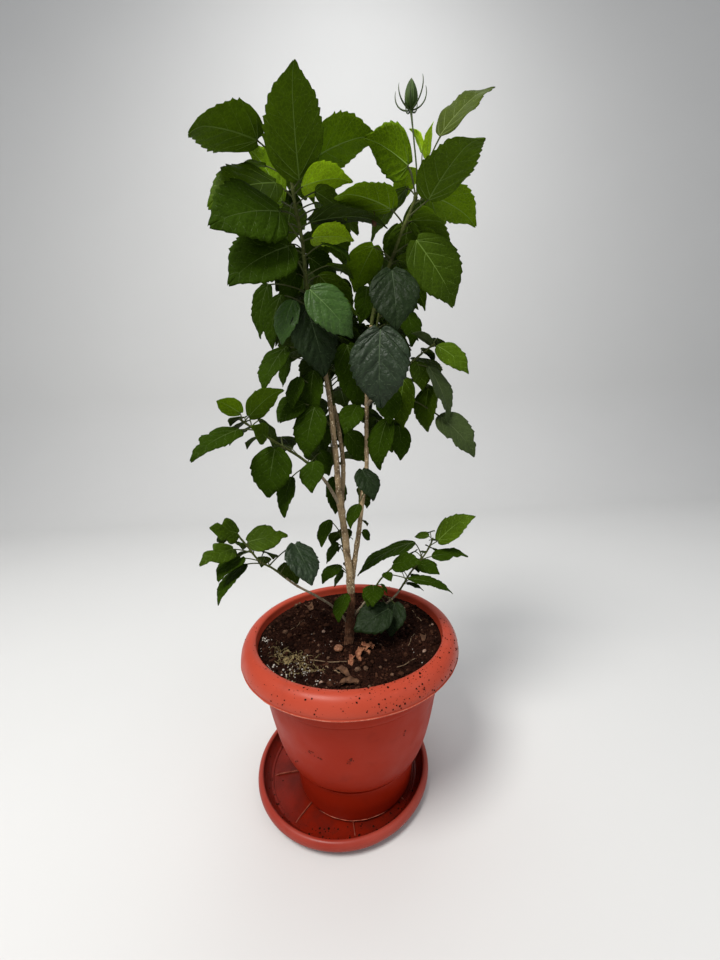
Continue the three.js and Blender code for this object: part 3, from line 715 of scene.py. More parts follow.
class Leaf:
    """A blade by its root, length, bearing, rise, roll, breadth as a share of its length, and look."""

    def __init__(self, root, length, bearing, rise, roll, broad, kind, bites=()):
        self.root = np.array(root, float)
        self.length = length
        self.broad = broad
        self.kind = kind
        self.bites = bites
        self.mid = direction(bearing, rise)
        level = direction(bearing - 90, 0)
        upward = np.cross(level, self.mid)
        turn = math.radians(roll)
        self.side = level * math.cos(turn) + upward * math.sin(turn)
        self.face = upward * math.cos(turn) - level * math.sin(turn)

    def half(self, along):
        """Half the blade's breadth at a part of its length, without teeth."""
        widest = math.sqrt(LEAF_WIDEST) * (1 - LEAF_WIDEST) ** LEAF_POINTED
        return 0.5 * self.length * self.broad * np.sqrt(along) * (1 - along) ** LEAF_POINTED / widest

    def arch(self, along):
        return LEAF_ARCH * self.length * 4 * along * (1 - along)

    def spots(self, along, across, lift):
        """Points by their way along the mid vein, out to the side and up from the face."""
        ways = ((along, self.mid), (across, self.side), (lift, self.face))
        return self.root + sum(np.multiply.outer(way, axis) for way, axis in ways)

    def marks(self):
        """A few points over the blade, to keep other leaves off it."""
        along, across = np.meshgrid(MARKS_ALONG, MARKS_ACROSS, indexing="ij")
        return self.spots(along * self.length, across * self.half(along), self.arch(along)).reshape(-1, 3)

    def in_solid(self, node):
        """True where the blade's middle lies on the solid, which says that the solid has this leaf."""
        middle = Vector(self.spots(BLADE_MIDDLE * self.length, 0, self.arch(BLADE_MIDDLE)) * MM)
        found, place, _, _ = frame["nodes"][node].closest_point_on_mesh(middle)
        return found and (place - middle).length < SOLID_NEAR * MM


class Shoot:
    """A stem and the mass of leaves on it. Where it is bare up to a part of its length, that is a limb."""

    def __init__(self, mass, route, leaves, width, rule=None, limb=None, parent="trunk", bare=0, flare=0,
                 kind="dark"):
        self.mass = mass
        self.limb = limb
        self.parent = parent
        self.curve = Curve(route)
        self.width = width
        self.bare = bare
        self.flare = flare
        self.kind = kind
        self.rule = rule
        self.leaves = []
        for number, row in enumerate(leaves):
            # The shoot's own look stands at the end of each row that names none.
            x, y, z, *form = (*row, kind)[:9]
            self.leaves.append(Leaf((x, y, z), *form, BITES.get((mass, number), ())))

    def radius(self, along):
        thick, thin = self.width
        radius = (thin + (thick - thin) * (1 - along) ** TAPER) / 2
        return radius + self.flare * np.exp(-along * self.curve.length / FLARE_FADE)

    def stalk_foot(self, leaf):
        """The part of the stem from which the leaf's stalk is short and rises as leaf stalks do."""
        along = self.bare + (1 - self.bare) * STALK_PARTS
        reach = leaf.root - self.curve.at(along)
        lengths = np.linalg.norm(reach, axis=1)
        rises = np.degrees(np.arcsin(reach[:, 2] / lengths))
        return along[np.argmin(lengths / STALK_SHORT + np.abs(rises - STALK_RISE) / STALK_STEEP)]

    def dealt_leaves(self, rule):
        """Leaves that a growth rule deals out round the stem, each a golden turn on from the last."""
        numbers = seeded_numbers(rule.seed)
        leaves = []
        for i in range(rule.count):
            values = [least + spread * next(numbers) for least, spread in LEAF_DRAWN.values()]
            along, stalk, stalk_rise, length, turn, rise, roll, broad = values
            foot = self.curve.at(self.bare + (1 - self.bare) * (i + along) / rule.count)[0]
            heading = rule.facing + rule.fan * (((i * GOLDEN_ANGLE) % 360) / 180 - 1)
            root = foot + direction(heading, stalk_rise) * rule.reach * stalk
            leaves.append(Leaf(root, rule.size * length, heading + turn, rise, roll, broad, self.kind))
        return leaves


# The shoots, with their routes and listed leaves. A leaf is its root, length, bearing, rise, roll and
# breadth, then its look where that isn't the shoot's own. Several leaves have a lighter look than their
# own green: painted light that falls on them or shines through them.
SHOOTS = [
    Shoot("foliage_left_top", limb="trunk", parent=None, width=(11.8, 3.8), bare=0.72, flare=1.8,
          kind="olive", rule=Rule(18, 336, 90, 85, 40, 68),
          route=[(-3, -19, 205), (1, -9, 246), (4, 0, 283), (-1, 0, 361), (-6, 0, 414), (-9, 0, 480),
              (-15, 0, 566), (-25, 0, 625), (-35, 0, 686), (-38, 0, 743), (-44, 0, 780), (-48, 0, 828)],
          leaves=[(-48, 18, 712, 46, 172, -60, 75, 0.7, "dark"),
              (-38, 18, 736, 60, 168, -45, -40, 0.7, "dark"),
              (-12, 2, 740, 44, -25, -34, -20, 0.7, "dark"), (-37, -5, 806, 106, -85, 30, -20, 0.66),
              (-80, -25, 836, 92, -135, -20, -10, 0.74), (-22, 10, 839, 92, 5, 23, 20, 0.7, "mid"),
              (-35, -5, 800, 70, 20, 20, 25, 0.6, "bright"),
              (-60, 10, 791, 80, 165, 60, -50, 0.66, "mid"),
              (-65, -5, 804, 90, -155, -25, 65, 0.74, "mid"),
              (-60, -30, 759, 94, -140, -24, 65, 0.84, "dark"),
              (-52, -30, 722, 91, -150, -34, 60, 0.78, "dark"),
              (-27, 0, 763, 97, -8, -4, -12, 0.72, "dark"), (-26, 5, 748, 62, 30, 10, 20, 0.64, "bright"),
              (-31, 8, 726, 60, 50, -15, -95, 0.66, "dark"),
              (-86, 19, 700, 72, 130, -60, 95, 0.64, "dark")]),
    Shoot("foliage_right_top", limb="bough_right", width=(7.4, 3.6), bare=0.68, kind="olive",
          rule=Rule(16, 260, 80, 70, 32, 70),
          route=[(4, 0.5, 288), (9, 6, 313), (20, 5, 379), (26, 4, 421), (32, 2, 454), (34, 0, 523),
              (39, 0, 600), (50, 0, 666), (76, 0, 726), (86, 0, 751), (98, 0, 775), (106, 0, 795)],
          leaves=[(102, -10, 736, 92, 5, -56, -90, 0.72), (96, 10, 764, 66, 90, -45, 155, 0.75),
              (100, 5, 773, 40, 25, 5, 20, 0.6, "mid"), (116, -15, 778, 97, -70, 8, 0, 0.64),
              (123, 0, 792, 76, 20, -15, 10, 0.74, "mid"), (94, -10, 819, 67, 160, 40, -40, 0.84, "mid"),
              (99, 5, 827, 52, 95, -15, 0, 0.62, "bright"), (73, -10, 771, 84, -146, -5, -5, 0.66, "mid"),
              (51, 0, 735, 66, 118, -32, -10, 0.74, "mid"), (135, 0, 857, 84, -5, 40, -50, 0.58, "light"),
              (115, 5, 844, 32, 160, 65, -25, 0.5, "bright"),
              (120, 0, 833, 38, -95, 25, -50, 0.5, "bright")]),
    Shoot("foliage_middle", limb="bough_middle", width=(7, 3.6), bare=0.5,
          rule=Rule(22, 37, 90, 85, 36, 74),
          route=[(-4, 0.5, 396), (-3, 9, 418), (0, 14, 446), (0, 15, 476), (-5, 15, 522), (-10, 15, 552),
              (-16, 15, 600), (-22, 16, 650), (-24, 17, 690)],
          leaves=[(-63, 10, 607, 44, 135, -60, 85, 0.6), (12, 8, 619, 87, 15, -80, -75, 0.68)]),
    Shoot("foliage_left_arm", limb="arm_left", width=(5, 2.6), bare=0.33,
          rule=Rule(9, 389, 100, 60, 22, 48),
          route=[(-6, 0, 408), (-21, -8, 437), (-34, -14, 456), (-52, -22, 475), (-73, -32, 491),
              (-89, -40, 503), (-109, -45, 518), (-119, -48, 526)],
          leaves=[(-118, -45, 533, 34, -130, 25, -45, 0.72, "mid"),
              (-110, -40, 529, 54, 20, 40, 55, 0.66, "olive"), (-119, -50, 514, 71, -130, -25, 20, 0.56),
              (-90, -45, 503, 34, -105, 25, 105, 0.75, "olive"), (-81, -45, 489, 60, -130, -75, 40, 0.82),
              (-65, -30, 453, 53, -130, -70, 0, 0.58), (-37, -25, 470, 44, -95, -50, -10, 0.75),
              (-30, 0, 481, 40, 50, -60, -90, 0.7)]),
    Shoot("foliage_right_arm", limb="arm_right", parent="bough_right", width=(4.4, 2.4), bare=0.2,
          rule=Rule(7, 220, 85, 60, 22, 52),
          route=[(35, 0, 540), (48, -4, 553), (59, -8, 563), (74, -12, 576), (88, -15, 587),
              (109, -20, 603), (121, -22, 611)],
          leaves=[(62, -14, 561, 50, -100, -70, 0, 0.7), (84, -10, 572, 65, 170, -85, 55, 0.66, "mid"),
              (100, -15, 591, 40, -70, -70, -10, 0.7, "olive"),
              (117, -5, 560, 59, 175, -85, 40, 0.7, "olive"),
              (113, -20, 584, 77, -9, -69, -35, 0.56, "pale"),
              (128, -12, 523, 72, -24, -48, -45, 0.62, "pale"),
              (124, -20, 609, 54, -15, -40, -60, 0.6, "mid"),
              (120, -20, 610, 34, 150, 34, -40, 0.5, "pale")]),
    Shoot("foliage_ground_left", limb="shoot_ground_left", width=(4, 2.2), bare=0.6,
          rule=Rule(4, 41, 110, 50, 18, 42),
          route=[(0, -10.5, 239), (-22, -12, 267), (-45, -24, 291), (-69, -36, 313), (-92, -48, 340),
              (-107, -54, 353), (-118, -58, 372), (-127, -60, 386)],
          leaves=[(-129, -59, 391, 38, -130, 22, 65, 0.84, "olive"),
              (-135, -62, 373, 46, -125, -4, 30, 0.7, "olive"),
              (-121, -50, 377, 50, 10, 5, -50, 0.7, "olive"), (-129, -55, 359, 43, -115, -15, 0, 0.72),
              (-126, -50, 349, 60, -115, -25, -15, 0.5),
              (-65, -40, 368, 58, -55, -46, 0, 0.74, "sheen")]),
    Shoot("foliage_ground_near", limb="shoot_ground_near", width=(3.6, 2.2), bare=0.4,
          rule=Rule(3, 119, -40, 50, 16, 40),
          route=[(1, -9, 244), (28, 4, 269), (46, 8, 293), (62, 12, 307), (77, 16, 319)],
          leaves=[(66, -2, 262, 46, -115, -48, -15, 0.9, "deep"), (66, 8, 316, 46, -40, 15, -40, 0.7),
              (82, -20, 305, 62, -20, -12, 0, 0.5), (54, -25, 266, 56, -160, -20, 35, 0.8, "deep")]),
    Shoot("foliage_ground_far", limb="shoot_ground_far", width=(4, 2.2), bare=0.5,
          rule=Rule(5, 52, 80, 60, 18, 44),
          route=[(-0.5, -13, 230), (56, 10, 257), (74, 14, 272), (92, 18, 297), (106, 20, 313),
              (120, 22, 331), (128, 24, 347)],
          leaves=[(105, 44, 335, 102, -172, -22, -5, 0.6),
              (122, 25, 350, 24, 145, -10, 30, 0.66, "olive"),
              (134, 20, 343, 65, -10, 40, -30, 0.68, "mid"), (123, 15, 322, 52, -15, 5, -15, 0.6),
              (104, 14, 313, 34, -40, -15, -35, 0.68)]),
    Shoot("foliage_left_front", width=(4, 2.4),
          route=[(-20, 0, 598), (-25, -9, 612), (-32, -17, 640), (-38, -19, 668)],
          leaves=[(-67, -5, 678, 67, 158, -70, 70, 0.64),
              (-50, -30, 663, 54, -175, -70, 60, 0.64, "gloss"),
              (-29, -45, 669, 72, 10, -45, -85, 0.68, "gloss"),
              (-35, -30, 656, 84, 30, -75, -100, 0.7, "deep"), (-64, -10, 615, 68, -145, -55, 20, 0.62)]),
    Shoot("foliage_right_front", parent="bough_right", width=(4, 2.4),
          route=[(38, 0, 592), (43, -12, 606), (50, -20, 636), (57, -22, 672)],
          leaves=[(50, -55, 621, 90, 125, -85, 130, 0.78, "sheen"),
              (66, -45, 688, 72, -80, -75, -10, 0.8, "deep"), (92, 14, 664, 56, -80, -66, 10, 0.62)]),
    Shoot("foliage_right_back", parent="bough_right", width=(4, 2.4), rule=Rule(20, 221, 75, 75, 40, 66),
          route=[(39, 0, 596), (43, 12, 610), (47, 24, 640), (52, 30, 680)],
          leaves=[(42, 17, 694, 50, -168, -78, 90, 0.58)]),
    Shoot("spray_trunk_left", width=(3.2, 2), rule=Rule(3, 159, 120, 50, 20, 50),
          route=[(-11, 0, 512), (-24, 1, 528), (-34, 1, 546), (-38, 0, 572)],
          leaves=[(-46, -3, 545, 42, -175, -32, 60, 0.62), (-65, 10, 551, 44, 140, -40, 75, 0.7),
              (-51, -5, 578, 44, -135, -70, 10, 0.66), (-33, -8, 539, 68, -150, -76, 35, 0.7),
              (-32, -2, 586, 64, 170, -85, 60, 0.66)]),
    Shoot("spray_middle_right", parent="bough_middle", width=(3, 2), rule=Rule(4, 148, 80, 70, 20, 50),
          route=[(0, 14, 484), (8, 19, 500), (10, 21, 526)],
          leaves=[(22, 1, 540, 46, -130, -50, 30, 0.7), (8, 16, 505, 52, 30, -55, -90, 0.66)]),
    Shoot("spray_middle_left", parent="bough_middle", width=(3, 2), rule=Rule(3, 42, 120, 60, 20, 50),
          route=[(0, 14, 462), (-12, 20, 468), (-16, 24, 500)],
          leaves=[(-19, 16, 516, 46, 130, -65, 100, 0.66), (-13, 20, 444, 54, -70, -85, 15, 0.66)]),
    Shoot("spray_right_low", parent="bough_right", width=(3, 2), rule=Rule(3, 221, 70, 60, 20, 48),
          route=[(33, 1, 480), (46, 1, 494), (56, -2, 512)],
          leaves=[(60, -15, 520, 67, -160, -75, 20, 0.66), (78, 5, 512, 48, -75, -85, 0, 0.64)]),
    Shoot("spray_right_small", parent="bough_right", width=(2.8, 2), rule=Rule(2, 259, 80, 50, 14, 36),
          route=[(15, 6, 350), (19, 15, 366), (21, 19, 400), (22, 20, 428)],
          leaves=[(24, 18, 364, 22, 35, -50, -70, 0.7)]),
    Shoot("spray_right_front", parent="bough_right", width=(2.6, 2),
          route=[(28, 3, 422), (27, -9, 430), (27, -12, 446)],
          leaves=[(25, -13, 456, 46, -60, -52, -10, 0.74, "deep"),
              (19, -12, 410, 36, -130, -50, 0, 0.62)]),
    Shoot("spray_trunk_low", width=(2.8, 2), rule=Rule(2, 51, 90, 50, 14, 36),
          route=[(3, 0, 296), (-1, 11, 312), (-5, 14, 345), (-9, 15, 368)],
          leaves=[(-22, 15, 384, 42, -120, -50, -10, 0.6), (-11, 20, 347, 40, 160, -55, 40, 0.6),
              (-12, 20, 315, 44, -125, -15, 0, 0.6), (-5, 25, 303, 36, 145, -55, 45, 0.55)]),
    Shoot("spray_foot", width=(2.6, 2),
          route=[(3, -4, 268), (0, -10, 276), (-3, -14, 283)],
          leaves=[(-4, -16, 286, 40, -110, -35, -20, 0.66)]),
]


# Finer growth: more leaves by the same rule, where the mass has room for them and the picture
# shows no opening.

# Rounds of finer growth: a step on of the seed, and the shares of the rule's count, size and reach.
FINER_ROUNDS = ((1000, 1.6, 0.95, 1.0), (2000, 2.4, 0.75, 0.9), (3000, 2.4, 0.55, 0.75))

# How far a finer leaf stays from the others, reaches out of the mass's box, and is seen past the others.
FINER_CLEAR = 5.0
FINER_OUTSIDE = 6.0
FINER_BEYOND = 13.0

# Parts of a stem's length at which leaves keep off it.
STEM_MARKS = np.linspace(0.02, 1, 60)

# Openings of the crown as they are seen from the front, on the upright plane through the pot's axis:
# across, height and radius.
OPENINGS = np.array([
    (20, 824, 9), (45, 826, 12), (68, 816, 9), (92, 778, 10), (58, 725, 8), (64, 752, 9), (50, 743, 5),
    (-45, 740, 9), (-42, 680, 5), (28, 667, 8), (36, 645, 5), (-54, 805, 8), (-75, 855, 12), (-80, 636, 8),
    (-70, 582, 10), (-12, 570, 7), (4, 545, 9), (-25, 520, 5), (22, 505, 11), (-4, 480, 6), (15, 462, 12),
    (-66, 490, 18), (-75, 460, 8), (92, 605, 15), (86, 580, 8), (-30, 440, 14), (-35, 375, 16),
    (70, 470, 15), (5, 420, 10), (-60, 330, 20), (60, 330, 12), (35, 350, 14), (136, 622, 9),
])


def nearest(points, others):
    """How far each point is from the nearest of the others."""
    return np.linalg.norm(points[:, None, :] - others, axis=2).min(1)


def from_front(points):
    """Where points are seen on the upright plane through the pot's axis: across and height."""
    eye = np.array(CAMERA_PLACE) / MM
    reach = points - eye
    return (eye - reach * (eye[1] / reach[:, 1])[:, None])[:, [0, 2]]


def in_opening(seen):
    return (np.linalg.norm(seen[:, None, :] - OPENINGS[:, :2], axis=2) < OPENINGS[:, 2]).any()


def grow(shoots):
    """Gives each shoot the dealt leaves that its solid has, and then the finer ones."""
    dealing = [shoot for shoot in shoots if shoot.rule]
    for shoot in dealing:
        shoot.leaves += [leaf for leaf in shoot.dealt_leaves(shoot.rule) if leaf.in_solid(shoot.mass)]
    taken = [leaf.marks() for shoot in shoots for leaf in shoot.leaves]
    taken = np.concatenate(taken + [shoot.curve.at(STEM_MARKS) for shoot in shoots])
    crown = from_front(taken)
    for step, share, size, reach in FINER_ROUNDS:
        for shoot in dealing:
            rule = Rule(round(shoot.rule.count * share), shoot.rule.seed + step, shoot.rule.facing,
                        shoot.rule.fan, shoot.rule.reach * reach, shoot.rule.size * size)
            low, high = np.array(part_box(shoot.mass)) / MM
            for leaf in shoot.dealt_leaves(rule):
                marks = leaf.marks()
                seen = from_front(marks)
                outside = np.maximum(low - marks, marks - high).max() > FINER_OUTSIDE
                if outside or in_opening(seen) or (nearest(seen, crown) > FINER_BEYOND).any():
                    continue
                if nearest(marks, taken).min() >= FINER_CLEAR:
                    shoot.leaves.append(leaf)
                    taken = np.concatenate([taken, marks])


# Bark and stems. Sizes on a stem are shares of its radius, and places and spreads are millimetres.

RING_STEP = 1.0
FEWEST_RINGS = 12
THICK_LIMB = 6
THICK_SIDES = 24
THIN_SIDES = 14
STEM_SEED = 40
RED_BARK_TOP = 280.0

# How far a stem sways to the sides, and the waves of its sway: how many, the shortest and the longest.
SWAY = 0.25
SWAY_WAVES = (6, 25.0, 60.0)
SWAY_SEED = 500

# The sway across and the sway in depth are read from the field this far apart.
SWAY_APART = 90

# Ridges round a stem: how many, their drift along it and their size.
BARK_RIDGES = ((3, 0.05, 0.025), (5, 0.09, 0.02), (8, 0.16, 0.02), (2, 0.21, 0.02))
RIDGE_WAVER = 0.06

# Knots: their swelling and their spread. The scars of fallen leaves stand about evenly along the stem,
# and each has a drawn swelling, spread and way to the next one, as a least value and its spread.
FORK_KNOT = (0.2, 5.0)
FORK_STATIONS = np.linspace(0, 1, 400)
LEAF_KNOT = (0.13, 2.2)
SCAR_SWELL = (0.1, 0.07)
SCAR_SPREAD = (2.0, 1.0)
SCAR_EVERY = 27.0
SCAR_APART = (0.6, 0.8)

# A knot swells by at least this share all round, and by the rest on one side.
KNOT_ROUND = 0.55

# The groove past each knot, and the pores: their size and their spread along and round the stem.
KNOT_GROOVE = (0.07, 0.8)
PORE = (0.07, 0.9, 0.8)
PORES_PER_MM = 0.5

# The collar where a stem leaves its parent: its size, how long it stays full and how fast it fades.
COLLAR = (0.5, 3.0, 4.0)


def knots_of(shoot, shoots):
    """Where the stem thickens: at its forks, at its leaves and at the scars of fallen leaves."""
    length = shoot.curve.length
    line = shoot.curve.at(FORK_STATIONS)
    forks = [other.curve.at(0) for other in shoots if shoot.limb and other.parent == shoot.limb]
    knots = [(FORK_STATIONS[np.argmin(nearest(line, fork))] * length, *FORK_KNOT) for fork in forks]
    knots += [(shoot.stalk_foot(leaf) * length, *LEAF_KNOT) for leaf in shoot.leaves]
    random = np.random.default_rng(int(length))
    place = SCAR_EVERY * SCAR_APART[0]
    while place < length:
        knots.append((place, drawn(random, SCAR_SWELL), drawn(random, SCAR_SPREAD)))
        place += SCAR_EVERY * drawn(random, SCAR_APART)
    return knots


def bark_radii(shoot, shoots, distances, sides, seed):
    """The stem's radius for each ring and side: taper, ridges, knots, pores and collar."""
    random = np.random.default_rng(seed)
    length = shoot.curve.length
    base = shoot.radius(distances / length)
    turns = steps_around(sides)
    s = distances[:, None]
    factor = np.ones((len(distances), sides))
    for count, drift, size in BARK_RIDGES:
        phase = random.random() * FULL_TURN
        factor += size * np.sin(count * turns + drift * s + phase + np.sin(s * RIDGE_WAVER + phase))
    groove, groove_spread = KNOT_GROOVE
    for place, swell, spread in knots_of(shoot, shoots):
        lean = 0.5 + 0.5 * np.cos(turns - random.random() * FULL_TURN)
        factor += swell * bulge(s - place, spread) * (KNOT_ROUND + (1 - KNOT_ROUND) * lean)
        factor -= groove * bulge(s - place - spread, groove_spread)
    pore, along, around = PORE
    for _ in range(int(length * PORES_PER_MM)):
        place = random.random() * length
        turn = random.random() * FULL_TURN
        apart = np.angle(np.exp(1j * (turns - turn))) * base.mean()
        factor += pore * bulge(s - place, along) * bulge(apart, around)
    if shoot.parent:
        collar, full, fade = COLLAR
        factor += collar * np.exp(-np.maximum(0, s - full) / fade)
    return base[:, None] * factor


def make_stems(shoots):
    """One piece of bark for each limb and one stem for each mass; the trunk's foot is redder."""
    for number, shoot in enumerate(shoots):
        thick = shoot.width[0] > THICK_LIMB
        sides = THICK_SIDES if thick else THIN_SIDES
        seed = STEM_SEED + number
        length = shoot.curve.length
        distances = np.linspace(0, length, max(FEWEST_RINGS, int(length / RING_STEP)))
        centres = shoot.curve.at(distances / length)
        sway = ripples(seed + SWAY_SEED, *SWAY_WAVES)
        centres = centres + SWAY * np.stack([sway(centres), sway(centres + SWAY_APART), 0 * distances], 1)
        radii = bark_radii(shoot, shoots, distances, sides, seed)
        last = len(distances) - 1
        bare = round(shoot.bare * last)
        if shoot.limb == "trunk":
            low = int(np.argmax(centres[:, 2] > RED_BARK_TOP))
            lengths = [("bark_trunk_foot", 0, low, "bark_red"), ("bark_trunk", low, bare, "bark_grey")]
        elif shoot.limb:
            lengths = [("bark_" + shoot.limb, 0, bare, "bark_grey" if thick else "bark_thin")]
        else:
            lengths = []
        for name, first, end, paint in lengths:
            stem = tube(centres[first:end + 1], radii[first:end + 1], sides)
            make_piece(name, [stem], [paint], "bark", [shoot.limb])
        stem = tube(centres[bare:], radii[bare:], sides)
        make_piece("stem_" + shoot.mass, [stem], ["bark_young"], "leaf", [shoot.mass])


# Leaves. Places on a blade are parts of its length, and sizes are millimetres where nothing is said.

LEAF_THICK = 0.45
PIECE_LIMIT = 170000

# A row leaves the mid vein lower than it meets the margin, by this share of half the breadth.
VEIN_LEAN = 1.12

# Columns of points on half a blade, and the length above which it has the finer ones.
COLUMNS = 7
FINE_COLUMNS = 10
FINE_FROM = 48

# Teeth: where on the blade they stand, how far apart, and for each tooth the parts of its length at
# which the margin bends, with how far it stands out there.
TEETH_FROM = 0.34
TEETH_TO = 0.965
TOOTH_SPACING = 8.0
TOOTH_ROWS = ((0.06, -1.0), (0.36, -0.35), (0.66, 0.35), (0.93, 1.0))
FEWEST_TEETH = 3
MOST_TEETH = 8

# The first teeth are smaller: by this share at the first one, up to full ones over a part of the length.
FIRST_TOOTH = 0.3
TEETH_GROW = 0.1

# A tooth's depth is a share of half the blade's breadth and a bit more, times a drawn least and spread.
# The shortest blades have no teeth, and they are full on blades longer than that by a stretch.
TOOTH_DEPTH = (0.038, 0.3)
TOOTH_DRAWN = (0.5, 0.8)
UNTOOTHED = (26, 30)

# Rows of the blade before its teeth, and the first and the last row's place.
PLAIN_ROWS = 9
FIRST_ROW = 0.006
LAST_ROW = 0.988

# The tip is drawn out from a place on, over a stretch, by a share of the breadth.
TIP_DRAWN = 0.32
TIP_FROM = 0.68
TIP_OVER = 0.24

# Broad blades reach back past their root in two lobes: how far, over which stretch, and the breadth
# from which they do so, with the spread until they do it fully.
LOBE = 0.07
LOBE_OVER = 0.16
LOBED_BREADTH = (0.6, 0.15)

# What is drawn for a blade, in this order, as a least value and its spread: what its fold has more than
# its look's, the height and the number of its waves, the fall of its tip, its bend to the side, and its
# place in the field of rucks.
BLADE_DRAWN = {
    "fold": (-0.05, 0.1),
    "wave": (0.006, 0.012),
    "waves": (1.5, 1.5),
    "curl": (0.04, 0.08),
    "bend": (-0.035, 0.07),
    "field": (0, 1000),
}
CURL_FROM = 0.65
RUCKS = ripples(71, 28, 5.0, 15.0)

# Side veins: where each meets the margin, and its share of the strongest one's breadth.
SIDE_VEINS = ((0.2, 1.1), (0.41, 1.1), (0.57, 0.8), (0.7, 0.65), (0.81, 0.5), (0.9, 0.4))
SIDE_VEIN = 0.5
SIDE_VEIN_PARTS = np.linspace(0, 0.94, 8)
FINEST_VEIN = 0.27
VEIN_HOLLOW = 0.028

# Short leaves leave out their weak side veins, and long ones fork the veins past a place.
SHORT_LEAF = 40
WEAK_VEIN = 0.65
LONG_LEAF = 64
FORKED_FROM = 0.3
FORK_PARTS = np.linspace(0, 1, 5)
MID_VEIN_PARTS = np.linspace(0, 0.97, 24)

# Veins and stalks grow with the leaf. They have their full thickness on a leaf of this length, and the
# veins' factor keeps within these two.
FULL_LENGTH = 80
VEIN_SCALES = (0.55, 1.15)

# A stalk's bow: how far back the blade's mid vein is carried on from its root, the share of that point
# in the bow, and the rise. The first and the last are shares of the stalk's reach. Its end lies a
# little way under the blade, in millimetres.
STALK_BACK = 0.25
STALK_BOWED = 0.35
STALK_UP = 0.03
STALK_UNDER = 1.5


def margin_rows(leaf):
    """Parts of the blade's length at which its rows meet the margin, and how far teeth stand out."""
    teeth = round(leaf.length * (TEETH_TO - TEETH_FROM) / TOOTH_SPACING)
    teeth = min(max(teeth, FEWEST_TEETH), MOST_TEETH)
    plain = FIRST_ROW + (TEETH_FROM - FIRST_ROW) * (np.arange(PLAIN_ROWS) / PLAIN_ROWS) ** 1.4
    parts, stands = np.array(TOOTH_ROWS).T
    toothed = (np.arange(teeth)[:, None] + parts).ravel() / teeth
    toothed = TEETH_FROM + (TEETH_TO - TEETH_FROM) * toothed
    growth = FIRST_TOOTH + (toothed - TEETH_FROM) / TEETH_GROW
    stands = np.tile(stands, teeth) * np.minimum(1.0, growth)
    return np.concatenate([plain, toothed, [LAST_ROW]]), np.concatenate([0 * plain, stands, [0]])


def blade_halves(leaf, random):
    """Both halves of a blade as grids of lengthways, sideways and lift, and their rows' places and feet."""
    look = LOOKS[leaf.kind]
    length = leaf.length
    places, stands = margin_rows(leaf)
    plain = leaf.half(places) * (1 - TIP_DRAWN * np.clip((places - TIP_FROM) / TIP_OVER, 0, 1) ** 1.5)
    feet = np.maximum.accumulate(np.maximum(places - VEIN_LEAN * plain / length, 0.02 * places))
    q = np.linspace(0, 1, FINE_COLUMNS if length > FINE_FROM else COLUMNS)
    fold, wave, waves, curl, bend, field = (drawn(random, bounds) for bounds in BLADE_DRAWN.values())
    lobed = LOBE * np.clip((leaf.broad - LOBED_BREADTH[0]) / LOBED_BREADTH[1], 0, 1)
    lobed = lobed * np.clip(1 - places / LOBE_OVER, 0, 1)[:, None] ** 2
    gaps = np.abs(places[:, None] - [place for place, _ in SIDE_VEINS]).min(1)
    swell = (1 - bulge(gaps, VEIN_HOLLOW))[:, None] * np.sin(np.pi * q) ** 0.6
    share, least = TOOTH_DEPTH
    deep = (share * plain + least) * np.clip((length - UNTOOTHED[0]) / UNTOOTHED[1], 0, 1)
    halves = []
    for hand in (1, -1):
        phase = random.random() * FULL_TURN
        uneven = TOOTH_DRAWN[0] + TOOTH_DRAWN[1] * random.random(len(places))
        half = plain + deep * stands * uneven
        for bitten, middle, size, depth in leaf.bites:
            if bitten == hand:
                half = half * (1 - depth * bulge(places - middle, size))
        along = feet[:, None] + (places - feet)[:, None] * q ** 1.15 - lobed * q ** 1.3
        across = half[:, None] * q
        t = np.clip(along, 0, 1)
        spots = np.stack([along * length + field, across * hand, 0 * across], -1)
        lift = leaf.arch(t) + (look.fold + fold) * across
        lift += wave * length * q ** 2 * np.sin(2 * np.pi * waves * t + phase)
        lift -= curl * length * np.clip((t - CURL_FROM) / (1 - CURL_FROM), 0, 1) ** 2
        lift += look.quilt * length * swell + look.rucks * RUCKS(spots) * (0.3 + 0.7 * q)
        halves.append(np.stack([along * length, across * hand + bend * length * t ** 2, lift]))
    return halves, places, feet


def on_half(half, places, at_places, at_parts):
    """Spots on half a blade, by where their row meets the margin and how far out on it they lie."""
    rows = np.interp(at_places, places, np.arange(len(places)))
    columns = at_parts * (half.shape[2] - 1)
    low = np.minimum(rows.astype(int), half.shape[1] - 2)
    left = np.minimum(columns.astype(int), half.shape[2] - 2)
    share = rows - low
    part = columns - left
    first = half[:, low, left] * (1 - part) + half[:, low, left + 1] * part
    second = half[:, low + 1, left] * (1 - part) + half[:, low + 1, left + 1] * part
    return first * (1 - share) + second * share


def add_blade(leaf, blades, veins, random):
    halves, places, feet = blade_halves(leaf, random)
    _, rows, columns = halves[0].shape
    thick = np.full(columns, LEAF_THICK)
    thick[-1] = LEAF_THICK / 2
    faces, under = sheet_faces(rows, columns, all_round=False)
    for half, half_faces in zip(halves, (faces[:, ::-1], faces)):
        along, across, lift = half
        skins = [leaf.spots(along, across, lift + rise) for rise in (thick / 2, -thick / 2)]
        blades.add(skins, half_faces, under)
        add_side_veins(leaf, half, places, veins)
    add_mid_vein(leaf, halves[0], feet, veins)


def vein_scale(leaf):
    least, most = VEIN_SCALES
    return min(max(leaf.length / FULL_LENGTH, least), most)


